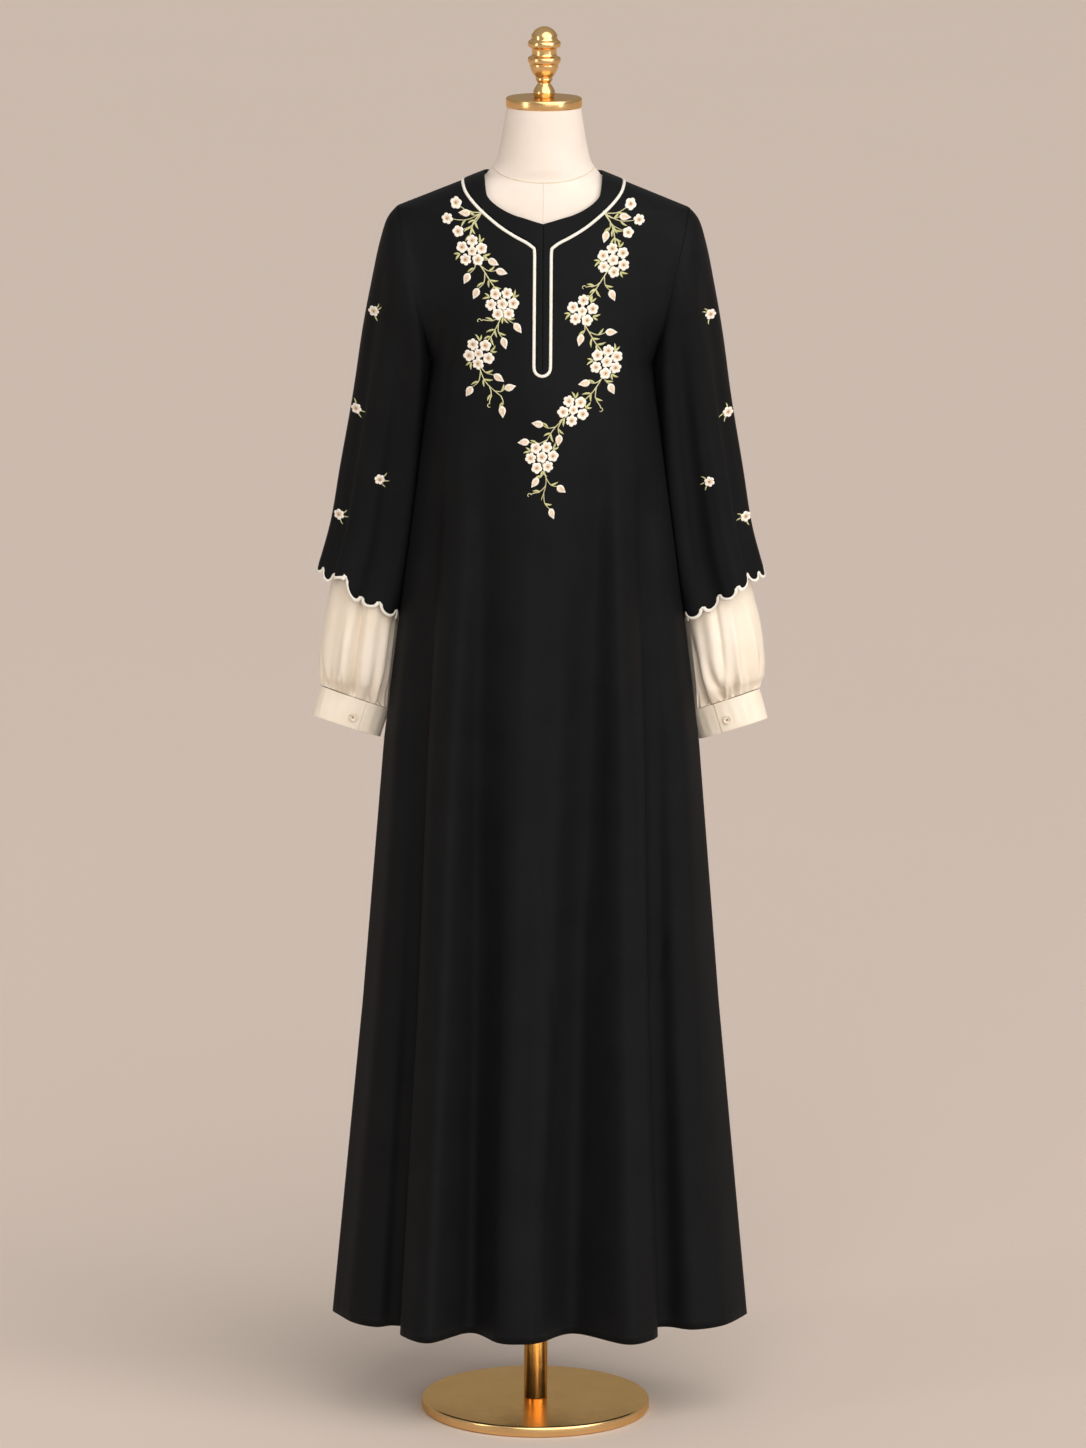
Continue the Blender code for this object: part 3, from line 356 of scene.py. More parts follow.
def waveNode(tree, coords, direction, pitch, distortion=0.0):
    node = addNode(tree, "ShaderNodeTexWave", Scale=0.31416 / pitch, Distortion=distortion)
    node.bands_direction = direction
    tree.links.new(coords, node.inputs["Vector"])
    return node.outputs["Fac"]


def mathNode(tree, kind, first, second):
    node = tree.nodes.new("ShaderNodeMath")
    node.operation = kind
    for slot, value in zip(node.inputs, (first, second)):
        if isinstance(value, (int, float)):
            slot.default_value = value
        else:
            tree.links.new(value, slot)
    return node.outputs[0]


def rangeNode(tree, value, low, high, fromLow=0.3, fromHigh=0.7):
    node = tree.nodes.new("ShaderNodeMapRange")
    for key, number in (("From Min", fromLow), ("From Max", fromHigh), ("To Min", low), ("To Max", high)):
        node.inputs[key].default_value = number
    tree.links.new(value, node.inputs["Value"])
    return node.outputs["Result"]


def colourMix(tree, factor, first, second):
    node = tree.nodes.new("ShaderNodeMix")
    node.data_type = "RGBA"
    tree.links.new(factor, node.inputs[0])
    for slot, value in ((node.inputs[6], first), (node.inputs[7], second)):
        if isinstance(value, tuple):
            slot.default_value = (*value, 1.0)
        else:
            tree.links.new(value, slot)
    return node.outputs[2]


def bumpNode(tree, height, distance, strength, below=None):
    node = addNode(tree, "ShaderNodeBump", Distance=distance, Strength=strength)
    tree.links.new(height, node.inputs["Height"])
    if below:
        tree.links.new(below, node.inputs["Normal"])
    return node.outputs["Normal"]


def coordsOf(tree, uvName=None):
    if uvName:
        node = tree.nodes.new("ShaderNodeUVMap")
        node.uv_map = uvName
        return node.outputs["UV"]
    return tree.nodes.new("ShaderNodeTexCoord").outputs["Object"]


# deep and lit: lit is the cloth on the threads' crowns; deep is painted shade in the weave's grooves and also
# the darker end of the random mottle
crepeLook = {
    "deep": (0.0037, 0.0039, 0.0044), "lit": (0.0065, 0.0068, 0.0075),
    "pitch": 0.00052, "weaveDepth": 0.00005, "weaveStrength": 0.35,
    "grain": 1300.0, "grainDepth": 0.00006, "grainStrength": 0.30,
    "drape": (26.0, 26.0, 5.0), "drapeDepth": 0.0010, "drapeStrength": 0.22,
    "roughness": (0.56, 0.68), "specular": 0.078,
    "sheen": 0.005, "sheenRoughness": 0.42, "sheenTint": (0.80, 0.86, 1.0),
}
# the satin's deep is a warm, saturated painted shade tone, the colour that shade in its folds would have
satinLook = {
    "deep": (0.74, 0.63, 0.485), "lit": (0.830, 0.760, 0.665),
    "pitch": 0.00036, "weaveDepth": 0.00003, "weaveStrength": 0.22,
    "grain": 900.0, "grainDepth": 0.00003, "grainStrength": 0.15,
    "drape": (60.0, 60.0, 12.0), "drapeDepth": 0.0006, "drapeStrength": 0.30,
    "roughness": (0.34, 0.50), "specular": 0.42,
    "sheen": 0.25, "sheenRoughness": 0.35, "sheenTint": (1.0, 0.95, 0.86),
}
coverLook = {
    "deep": (0.71, 0.615, 0.535), "lit": (0.79, 0.70, 0.625),
    "pitch": 0.00070, "weaveDepth": 0.00006, "weaveStrength": 0.30,
    "grain": 700.0, "grainDepth": 0.00005, "grainStrength": 0.22,
    "drape": (9.0, 9.0, 9.0), "drapeDepth": 0.0006, "drapeStrength": 0.10,
    "roughness": (0.62, 0.78), "specular": 0.25,
    "sheen": 0.15, "sheenRoughness": 0.50, "sheenTint": (1.0, 0.94, 0.86),
}


# woven cloth: warp and weft on the cut's own uv, grain and soft drape in space; its colour is darkened in the
# weave's grooves as painted shade and varied by random mottle
def makeCloth(name, look):
    finish, tree, shader = newFinish(name)
    space = coordsOf(tree)
    cut = coordsOf(tree, "cut")
    warp = waveNode(tree, cut, "X", look["pitch"], 0.4)
    weft = waveNode(tree, cut, "Y", look["pitch"], 0.4)
    weave = mathNode(tree, "MAXIMUM", warp, weft)
    grain = noiseNode(tree, space, look["grain"], 2.0)
    mottle = noiseNode(tree, space, 16.0, 5.0, 0.6)
    # painted shade: the colour darkens towards the deep tone in the grooves between warp and weft
    shade = rangeNode(tree, weave, 0.6, 1.0, 0.0, 1.0)
    grooveShadeAndMottle = mathNode(tree, "MULTIPLY", rangeNode(tree, mottle, 0.35, 1.0), shade)
    tree.links.new(colourMix(tree, grooveShadeAndMottle, look["deep"], look["lit"]), shader.inputs["Base Color"])
    tree.links.new(rangeNode(tree, grain, *look["roughness"]), shader.inputs["Roughness"])
    drape = noiseNode(tree, stretched(tree, space, look["drape"]), 1.0, 3.0)
    normal = bumpNode(tree, drape, look["drapeDepth"], look["drapeStrength"])
    normal = bumpNode(tree, grain, look["grainDepth"], look["grainStrength"], normal)
    normal = bumpNode(tree, weave, look["weaveDepth"], look["weaveStrength"], normal)
    tree.links.new(normal, shader.inputs["Normal"])
    shader.inputs["Specular IOR Level"].default_value = look["specular"]
    shader.inputs["Sheen Weight"].default_value = look["sheen"]
    shader.inputs["Sheen Roughness"].default_value = look["sheenRoughness"]
    shader.inputs["Sheen Tint"].default_value = (*look["sheenTint"], 1.0)
    return finish


# each thread's deep is painted shade between its stitches and the darker end of its random unevenness; lit is
# the stitches' crowns
threadLooks = {
    "creamCord": {"deep": (0.70, 0.65, 0.56), "lit": (0.93, 0.90, 0.83), "pitch": 0.00042},
    "creamThread": {"deep": (0.74, 0.67, 0.57), "lit": (0.95, 0.91, 0.84), "pitch": 0.00040},
    "blushThread": {"deep": (0.60, 0.43, 0.29), "lit": (0.84, 0.68, 0.52), "pitch": 0.00036},
    "ochreThread": {"deep": (0.28, 0.14, 0.06), "lit": (0.50, 0.28, 0.13), "pitch": 0.00034},
    "roseThread": {"deep": (0.46, 0.28, 0.17), "lit": (0.68, 0.47, 0.32), "pitch": 0.00034},
    "leafThread": {"deep": (0.36, 0.36, 0.13), "lit": (0.68, 0.67, 0.33), "pitch": 0.00036},
    "stemThread": {"deep": (0.44, 0.42, 0.20), "lit": (0.76, 0.72, 0.44), "pitch": 0.00040},
    "blackThread": {"deep": (0.003, 0.003, 0.004), "lit": (0.010, 0.010, 0.011), "pitch": 0.00030},
    "ivoryThread": {"deep": (0.66, 0.55, 0.41), "lit": (0.86, 0.76, 0.62), "pitch": 0.00030},
    "brownThread": {"deep": (0.16, 0.07, 0.03), "lit": (0.34, 0.18, 0.09), "pitch": 0.00025},
}


# stitched thread: each stitch is a stripe across the piece's own uv, darkened between the stitches as painted
# shade and varied at random
def makeThread(name, look):
    finish, tree, shader = newFinish(name)
    lay = coordsOf(tree, "lay")
    space = coordsOf(tree)
    strand = waveNode(tree, lay, "X", look["pitch"], 0.8)
    fuzz = noiseNode(tree, space, 1800.0, 2.0)
    uneven = noiseNode(tree, space, 120.0, 3.0)
    # painted shade: the colour darkens towards the deep tone in the grooves between stitches
    shade = rangeNode(tree, strand, 0.35, 1.0, 0.0, 0.7)
    grooveShadeAndMottle = mathNode(tree, "MULTIPLY", shade, rangeNode(tree, uneven, 0.55, 1.0))
    tree.links.new(colourMix(tree, grooveShadeAndMottle, look["deep"], look["lit"]), shader.inputs["Base Color"])
    tree.links.new(rangeNode(tree, fuzz, 0.36, 0.52), shader.inputs["Roughness"])
    normal = bumpNode(tree, strand, 0.00012, 0.7)
    normal = bumpNode(tree, fuzz, 0.00003, 0.3, normal)
    tree.links.new(normal, shader.inputs["Normal"])
    shader.inputs["Sheen Weight"].default_value = 0.12
    shader.inputs["Specular IOR Level"].default_value = 0.4
    return finish


brassLook = {
    "deep": (0.70, 0.44, 0.185), "lit": (0.83, 0.55, 0.255), "edge": (1.0, 0.84, 0.60),
    "roughness": (0.17, 0.29), "brush": (40.0, 40.0, 900.0),
}


def makeBrass(name, look):
    finish, tree, shader = newFinish(name)
    space = coordsOf(tree)
    tarnish = noiseNode(tree, space, 22.0, 6.0, 0.62)
    brushed = noiseNode(tree, stretched(tree, space, look["brush"]), 1.0, 3.0)
    smear = noiseNode(tree, space, 60.0, 4.0, 0.6)
    tone = colourMix(tree, rangeNode(tree, tarnish, 0.45, 1.0), look["deep"], look["lit"])
    tree.links.new(tone, shader.inputs["Base Color"])
    wear = mathNode(tree, "MULTIPLY", smear, 0.6)
    wear = mathNode(tree, "ADD", wear, mathNode(tree, "MULTIPLY", brushed, 0.4))
    tree.links.new(rangeNode(tree, wear, *look["roughness"]), shader.inputs["Roughness"])
    normal = bumpNode(tree, brushed, 0.00002, 0.12)
    normal = bumpNode(tree, smear, 0.00010, 0.05, normal)
    tree.links.new(normal, shader.inputs["Normal"])
    shader.inputs["Metallic"].default_value = 1.0
    shader.inputs["Specular Tint"].default_value = (*look["edge"], 1.0)
    return finish


shellLook = {
    "deep": (0.62, 0.50, 0.36), "lit": (0.84, 0.76, 0.64), "cloud": 320.0,
    "roughness": (0.22, 0.34), "coat": 0.35,
}


def makeShell(name, look):
    finish, tree, shader = newFinish(name)
    cloud = noiseNode(tree, coordsOf(tree), look["cloud"], 4.0, 0.6)
    tone = colourMix(tree, rangeNode(tree, cloud, 0.0, 1.0), look["deep"], look["lit"])
    tree.links.new(tone, shader.inputs["Base Color"])
    tree.links.new(rangeNode(tree, cloud, *look["roughness"]), shader.inputs["Roughness"])
    tree.links.new(bumpNode(tree, cloud, 0.00004, 0.2), shader.inputs["Normal"])
    shader.inputs["Coat Weight"].default_value = look["coat"]
    return finish


crepe = makeCloth("blackCrepe", crepeLook)
satin = makeCloth("ivorySatin", satinLook)
cover = makeCloth("formCover", coverLook)
brass = makeBrass("polishedBrass", brassLook)
shell = makeShell("buttonShell", shellLook)
threads = {name: makeThread(name, look) for name, look in threadLooks.items()}
print("finishes made")


# making sheets, cords and stitches

def addPiece(name, data):
    piece = bpy.data.objects.new(name, data)
    bpy.context.scene.collection.objects.link(piece)
    return piece


def meshPiece(name, verts, faces, uvName, coords, *finishes):
    mesh = bpy.data.meshes.new(name)
    mesh.from_pydata(verts, [], faces)
    mesh.uv_layers.new(name=uvName).data.foreach_set("uv", coords)
    for finish in finishes:
        mesh.materials.append(finish)
    mesh.shade_smooth()
    return addPiece(name, mesh)


def selectOnly(piece):
    bpy.ops.object.select_all(action="DESELECT")
    bpy.context.view_layer.objects.active = piece
    piece.select_set(True)


def finishPiece(piece, slot, *nodes):
    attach(piece, "root")
    if nodes:
        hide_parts(*nodes)
    return piece


def gridNormals(grid, closed):
    if closed:
        wide = np.concatenate([grid[:, -1:], grid, grid[:, :1]], axis=1)
        across = (wide[:, 2:] - wide[:, :-2])
    else:
        across = np.gradient(grid, axis=1)
    down = np.gradient(grid, axis=0)
    normal = np.cross(down, across)
    return normal / np.maximum(np.linalg.norm(normal, axis=2, keepdims=True), 1e-12)


# a grid's faces, and the row and column that each of their corners has on the flat cloth
def gridFaces(rows, columns, closed=False, ring=False):
    faces, corners = [], []
    for row in range(rows if ring else rows - 1):
        for column in range(columns if closed else columns - 1):
            low, right = (row + 1) % rows, (column + 1) % columns
            spots = ((row, column), (low, column), (low, right), (row, right))
            faces.append(tuple(r * columns + c for r, c in spots))
            corners.append(((row, column), (row + 1, column), (row + 1, column + 1), (row, column + 1)))
    return faces, corners


def cornerCoords(corners, placeOf):
    return [value for face in corners for r, c in face for value in placeOf(r, c)]


def lengthsAlong(points):
    step = np.linalg.norm(np.diff(points, axis=0), axis=1)
    return np.concatenate([[0.0], np.cumsum(step)])


def gridLengths(grid, closed):
    wide = np.concatenate([grid, grid[:, :1]], axis=1) if closed else grid
    run = np.linalg.norm(np.diff(wide, axis=1), axis=2)
    across = np.concatenate([np.zeros((len(grid), 1)), np.cumsum(run, axis=1)], axis=1)
    across = across - across[:, across.shape[1] // 2][:, None]
    fall = np.linalg.norm(np.diff(grid, axis=0), axis=2)
    down = np.concatenate([np.zeros((1, grid.shape[1])), np.cumsum(fall, axis=0)], axis=0)
    if closed:
        down = np.concatenate([down, down[:, :1]], axis=1)
    return across, down


# a sheet from rows of points that run downwards and, seen from outside, to the right
def sheetPiece(name, grid, finish, closed=False):
    grid = np.asarray(grid, dtype=float)
    across, down = gridLengths(grid, closed)
    faces, corners = gridFaces(*grid.shape[:2], closed)
    coords = cornerCoords(corners, lambda r, c: (across[r, c], down[r, c]))
    return meshPiece(name, grid.reshape(-1, 3).tolist(), faces, "cut", coords, finish)


def applyModifiers(piece):
    selectOnly(piece)
    for modifier in list(piece.modifiers):
        bpy.ops.object.modifier_apply(modifier=modifier.name)
    piece.select_set(False)


def addBevel(piece, width, segments, degrees):
    bevel = piece.modifiers.new("rounded", "BEVEL")
    bevel.width = width
    bevel.segments = segments
    bevel.limit_method = "ANGLE"
    bevel.angle_limit = math.radians(degrees)


def thicken(piece, wall, edge=0.0):
    modifier = piece.modifiers.new("wall", "SOLIDIFY")
    modifier.thickness = wall
    modifier.offset = -1.0
    if edge:
        addBevel(piece, edge, 2, 60.0)
    applyModifiers(piece)
    piece.data.shade_smooth()
    return piece


def sheetArea(piece):
    return sum(face.area for face in piece.data.polygons)


def pathDirections(points, closed=False):
    points = np.asarray(points, dtype=float)
    if closed:
        run = np.roll(points, -1, axis=0) - np.roll(points, 1, axis=0)
    else:
        run = np.gradient(points, axis=0)
    return run / np.maximum(np.linalg.norm(run, axis=1, keepdims=True), 1e-12)


# a cord or a laid band: the section is given beside and above the path
def cordPiece(name, points, normals, section, finish, closed=False):
    points = np.asarray(points, dtype=float)
    normals = np.asarray(normals, dtype=float)
    run = pathDirections(points, closed)
    beside = np.cross(normals, run)
    beside /= np.linalg.norm(beside, axis=1, keepdims=True)
    up = np.cross(run, beside)
    verts = np.stack([points + beside * s + up * h for s, h in section], axis=1)
    count, sides = len(points), len(section)
    along = lengthsAlong(np.concatenate([points, points[:1]]))
    around = lengthsAlong(np.asarray(section + section[:1]))
    faces, corners = gridFaces(count, sides, closed=True, ring=closed)
    coords = cornerCoords(corners, lambda r, c: (along[r], around[c]))
    if not closed:
        faces += [tuple(range(sides)), tuple(reversed(range((count - 1) * sides, count * sides)))]
        coords += [0.0] * (4 * sides)
    return outwards(meshPiece(name, verts.reshape(-1, 3).tolist(), faces, "lay", coords, finish))


def editAll(piece):
    selectOnly(piece)
    bpy.ops.object.mode_set(mode="EDIT")
    bpy.ops.mesh.select_all(action="SELECT")


def leaveEdit(piece):
    bpy.ops.mesh.select_all(action="SELECT")
    bpy.ops.mesh.normals_make_consistent(inside=False)
    bpy.ops.object.mode_set(mode="OBJECT")
    piece.select_set(False)


def outwards(piece):
    editAll(piece)
    leaveEdit(piece)
    return piece


# a row of machine stitches, each a low lens lying on the cloth
def stitchRow(points, normals, look, store):
    points = np.asarray(points, dtype=float)
    normals = np.asarray(normals, dtype=float)
    along = lengthsAlong(points)
    for index in range(int(along[-1] / look["pitch"])):
        low = (index + 0.5 * (1.0 - look["fill"])) * look["pitch"]
        spots = low + np.array([0.0, 0.5, 1.0]) * look["fill"] * look["pitch"]
        p = np.stack([np.interp(spots, along, points[:, axis]) for axis in range(3)], axis=1)
        n = np.array([np.interp(spots[1], along, normals[:, axis]) for axis in range(3)])
        n /= np.linalg.norm(n)
        run = p[2] - p[0]
        run /= np.linalg.norm(run)
        beside = np.cross(n, run)
        half, high, base = beside * look["width"] / 2.0, n * look["rise"], n * look["sink"]
        start = len(store["verts"])
        corners = [p[0] - base, p[1] + half - base, p[2] - base, p[1] - half - base]
        corners += [p[1] * 0.6 + p[0] * 0.4 + high, p[1] * 0.6 + p[2] * 0.4 + high]
        store["verts"] += [corner.tolist() for corner in corners]
        for face in ((0, 1, 4), (1, 5, 4), (1, 2, 5), (2, 3, 5), (3, 4, 5), (3, 0, 4), (0, 3, 2, 1)):
            store["faces"].append(tuple(start + corner for corner in face))


def stitchPiece(name, store, finish):
    spots = [store["verts"][corner] for face in store["faces"] for corner in face]
    coords = [value for x, y, z in spots for value in ((x + z) / 2.0, y)]
    return outwards(meshPiece(name, store["verts"], store["faces"], "lay", coords, finish))


# front and back panels

panelMesh = {"sideColumns": 66, "neckColumns": 60, "upperRows": 58, "lowerRows": 140, "spread": 1.15}
seamLook = {"depth": 0.0008, "reach": 0.0022}
hemLook = {
    "line": 0.0150, "groove": 0.00045, "reach": 0.0014,
    "pucker": 0.00045, "pitch": 0.021, "puckerReach": 0.018, "offSeam": 0.004,
}
hemFacing = {"deep": 0.0150, "above": 0.0006, "inside": 0.0019, "wall": 0.0006}
hemStitch = {"pitch": 0.0038, "fill": 0.78, "width": 0.00055, "rise": 0.00028, "sink": 0.0003}


def hemSteps(folds, low, high, count):
    turns = np.linspace(low, high, 400)
    along = lengthsAlong(np.array([hemCourse(folds, turn) for turn in turns]))
    along = along / along[-1] * 0.75 + (turns - low) / (high - low) * 0.25
    return list(np.interp(np.linspace(0.0, 1.0, count + 1), along, turns))


def panelTurns(face):
    folds = body["frontFolds" if face < 0 else "backFolds"]
    neckTurn = math.degrees(math.asin(body["neckPoint"][0] / body["shoulderTip"][0]))
    left = hemSteps(folds, -90.0, -neckTurn, panelMesh["sideColumns"])
    right = hemSteps(folds, neckTurn, 90.0, panelMesh["sideColumns"])
    neck = np.linspace(-neckTurn, neckTurn, panelMesh["neckColumns"] + 1)
    return left[:-1] + list(neck) + right[1:], neckTurn


def panelGrid(face):
    turns, neckTurn = panelTurns(face)
    neckline = body["frontNeck" if face < 0 else "backNeck"]
    tops = []
    for turn in turns:
        if abs(turn) <= neckTurn + 1e-9:
            place = min(1.0, abs(turn) / neckTurn) * (len(neckline) - 1)
            across, height = rowCurve([row[:2] for row in neckline], place)
            tops.append((math.copysign(across, turn), height))
        else:
            across = math.sin(math.radians(turn)) * body["shoulderTip"][0]
            tops.append((across, topHeight(face, across)))
    armpit, hem = body["armpit"][1], body["hem"]
    rows = []
    for row in range(panelMesh["upperRows"] + 1):
        drop = (1.0 - math.cos(math.pi * row / panelMesh["upperRows"])) / 2.0
        line = []
        for turn, (across, top) in zip(turns, tops):
            shift = (across - math.sin(math.radians(turn)) * body["shoulderTip"][0]) * (1.0 - drop) ** 2
            line.append(panelPoint(face, turn, top + (armpit - top) * drop, shift))
        rows.append(line)
    for row in range(1, panelMesh["lowerRows"] + 1):
        height = armpit + (hem - armpit) * (row / panelMesh["lowerRows"]) ** panelMesh["spread"]
        rows.append([panelPoint(face, turn, height) for turn in turns])
    grid = np.array(rows)
    return grid if face < 0 else grid[:, ::-1]


# the seam at a panel's edges and the hem's sewn line sink a little into the cloth
def sewPanel(grid):
    normals = gridNormals(grid, False)
    run = np.linalg.norm(np.diff(grid, axis=1), axis=2)
    fromLeft = np.concatenate([np.zeros((len(grid), 1)), np.cumsum(run, axis=1)], axis=1)
    fromRight = fromLeft[:, -1:] - fromLeft
    edge = np.minimum(fromLeft, fromRight)
    sink = seamLook["depth"] * np.exp(-(edge / seamLook["reach"]) ** 2)
    above = grid[:, :, 2] - body["hem"]
    line = np.exp(-((above - hemLook["line"]) / hemLook["reach"]) ** 2) * hemLook["groove"]
    pucker = np.sin(fromLeft / hemLook["pitch"] * math.tau + 2.0 * np.sin(fromLeft * 31.0))
    fade = np.clip(1.0 - np.abs(above - hemLook["line"]) / hemLook["puckerReach"], 0.0, 1.0)
    sink = sink + line + pucker * fade * hemLook["pucker"] * (edge > hemLook["offSeam"])
    normals[:, (0, -1), 1] = 0.0
    return grid - normals * sink[:, :, None]


panels = {}
stitches = {"verts": [], "faces": []}
for name, face in (("frontPanel", -1), ("backPanel", 1)):
    grid = sewPanel(panelGrid(face))
    normals = gridNormals(grid, False)
    piece = sheetPiece(name, grid, crepe)
    area = sheetArea(piece)
    panels[name] = (piece, area)
    thicken(piece, body["wall"])
    finishPiece(piece, "black_crepe", "front_panel" if face < 0 else "back_panel")
    heights = grid[:, 0, 2]
    low = int(np.argmin(np.abs(heights - body["hem"] - hemLook["line"])))
    stitchRow(grid[low, 2:-2], normals[low, 2:-2], hemStitch, stitches)
    print(name, "area", round(area, 4), "hem", round(float(lengthsAlong(grid[-1])[-1]), 4))

hemStitching = finishPiece(stitchPiece("hemStitching", stitches, threads["blackThread"]), "black_crepe")

# a narrow turned hem inside the skirt
hemFacings = {}
for name, face in (("frontHemFacing", -1), ("backHemFacing", 1)):
    turns, _ = panelTurns(face)
    rows = []
    for share in (0.0, 0.25, 0.5, 0.75, 1.0):
        height = body["hem"] + hemFacing["above"] + (1.0 - share) * hemFacing["deep"]
        rows.append([panelPoint(face, turn, height) for turn in turns[1:-1]])
    grid = np.array(rows) if face < 0 else np.array(rows)[:, ::-1]
    grid = grid - gridNormals(grid, False) * hemFacing["inside"]
    hemFacings[name] = thicken(sheetPiece(name, grid, crepe), hemFacing["wall"])
    finishPiece(hemFacings[name], "black_crepe")
print("body panels made")


# neckband and placket, a flat band that wraps the neckline

band = {
    "halfWidth": 0.0079,
    "slit": 0.00015,
    "placketTop": 1.5080,
    "placketEnd": 1.3590,
    "endTurn": 82.0,
    # across the band from the neckline to its outer edge: share, lift off the cloth
    "profile": (
        (0.10, -0.0015), (0.0, -0.0014), (-0.004, -0.0004), (-0.004, 0.0009), (0.008, 0.0014),
        (0.05, 0.0016), (0.20, 0.00165), (0.50, 0.0017), (0.80, 0.00165),
        (0.95, 0.0015), (0.99, 0.0010), (1.0, 0.0002),
    ),
    "placketProfile": (
        (0.0, 0.0002), (0.0, 0.0010), (0.03, 0.0014), (0.10, 0.0016),
        (0.25, 0.00168), (0.50, 0.0017), (0.75, 0.00165), (0.88, 0.0014),
        (0.93, 0.00155), (0.97, 0.0013), (1.0, 0.0007), (1.0, 0.0002),
    ),
}


def bandStations():
    stations = [(row[:2], row[2:], 0.0) for row in alongRows(tuple(reversed(body["frontNeck"])), 84)]
    (across, height), outer, _ = stations[-1]
    stations[-1] = ((band["slit"], height), outer, 0.15)
    straightEnd = band["placketEnd"] + band["halfWidth"]
    for step in range(31):
        height = band["placketTop"] + (straightEnd - band["placketTop"]) * step / 30
        stations.append(((band["slit"], height), (band["halfWidth"], height), min(1.0, 0.4 + step / 4)))
    for step in range(1, 13):
        turn = math.radians(band["endTurn"] * step / 12)
        across = band["halfWidth"] * math.cos(turn)
        height = straightEnd - band["halfWidth"] * math.sin(turn)
        stations.append(((band["slit"], height), (across, height), 1.0))
    return stations


def bandGrid(face, side, stations):
    rows = []
    for (share, lift), (otherShare, otherLift) in zip(band["profile"], band["placketProfile"]):
        line = []
        for inside, outside, placket in stations:
            part = share + (otherShare - share) * placket
            rise = lift + (otherLift - lift) * placket
            across = inside[0] + (outside[0] - inside[0]) * part
            height = inside[1] + (outside[1] - inside[1]) * part
            height = min(height, topHeight(face, across))
            line.append(onSurface(face, side * across, height, rise))
        rows.append([tuple(point) for point in line])
    return np.array(rows)


for name, side in (("neckbandLeft", -1), ("neckbandRight", 1)):
    grid = bandGrid(-1, side, bandStations())
    grid[:, 0, 1] = -0.00012
    if side > 0:
        grid = grid[:, ::-1]
    piece = sheetPiece(name, grid, crepe)
    finishPiece(piece, "black_crepe", "neckband_left" if side < 0 else "neckband_right")
    area = round(sheetArea(piece), 5)
    print(name, "area", area)

backStations = [(row[:2], row[2:], 0.0) for row in alongRows(tuple(reversed(body["backNeck"])), 60)]
rightHalf = bandGrid(1, 1.0, backStations)
leftHalf = bandGrid(1, -1.0, backStations[:-1])[:, ::-1]
grid = np.concatenate([rightHalf, leftHalf], axis=1)
grid[:, (0, -1), 1] = 0.00012
neckbandBack = sheetPiece("neckbandBack", grid, crepe)
finishPiece(neckbandBack, "black_crepe", "neckband_back")
area = round(sheetArea(neckbandBack), 5)
print("neckbandBack area", area)


# cream piping round the band and the placket

piping = {"width": 0.0040, "rise": 0.0019, "shift": 0.00235, "frontSteps": 90, "backSteps": 50}


def besideEdge(edge, shift):
    path = []
    for index, (across, height) in enumerate(edge):
        before, after = edge[max(0, index - 1)], edge[min(len(edge) - 1, index + 1)]
        run = Vector((after[0] - before[0], after[1] - before[1])).normalized()
        path.append((across - run.y * shift, height + run.x * shift))
    return path


def pipingSpots():
    shift = piping["shift"]
    edge = [row[2:] for row in alongRows(tuple(reversed(body["frontNeck"])), piping["frontSteps"])]
    edge.append([band["halfWidth"], band["placketTop"]])
    half = besideEdge(edge, shift)
    radius = band["halfWidth"] + shift
    straightEnd = band["placketEnd"] + band["halfWidth"]
    for step in range(1, 34):
        half.append((radius, band["placketTop"] + (straightEnd - band["placketTop"]) * step / 33))
    for step in range(1, 13):
        turn = math.pi / 2.0 * step / 12
        half.append((radius * math.cos(turn), straightEnd - radius * math.sin(turn)))
    edge = [row[2:] for row in alongRows(tuple(reversed(body["backNeck"])), piping["backSteps"])]
    back = besideEdge(edge, shift)[1:]
    front = [(-1, across, height) for across, height in half]
    spots = front + [(-1, -across, height) for _, across, height in reversed(front[:-1])]
    spots += [(1, -across, height) for across, height in back]
    spots += [(1, across, height) for across, height in reversed(back[:-1])]
    return spots


# takes the small corners off a closed path
def evened(path):
    return (np.roll(path, 1, axis=0) + 2.0 * path + np.roll(path, -1, axis=0)) / 4.0


def pipingPiece():
    points, normals = [], []
    for face, across, height in pipingSpots():
        height = min(height, topHeight(face, across))
        spot = onSurface(face, across, height, 0.0002)
        points.append(spot)
        normals.append(surfaceNormal(face, *onSurface(face, across, height)))
    points, normals = np.array(points), np.array(normals)
    for _ in range(4):
        points, normals = evened(points), evened(normals)
    half, rise = piping["width"] / 2.0, piping["rise"]
    section = [(-half, 0.0)]
    for step in range(1, 8):
        turn = math.pi * (1.0 - step / 8)
        section.append((half * math.cos(turn), rise * math.sin(turn) ** 0.8))
    section.append((half, 0.0))
    return cordPiece("pipingCord", points, normals, section, threads["creamCord"], closed=True)


finishPiece(pipingPiece(), "cream_cord", "piping")
print("neckband and piping made")


# the body's side, for sleeves that hang beside it

sideTable = {"heightStep": 0.008, "depthStep": 0.004}


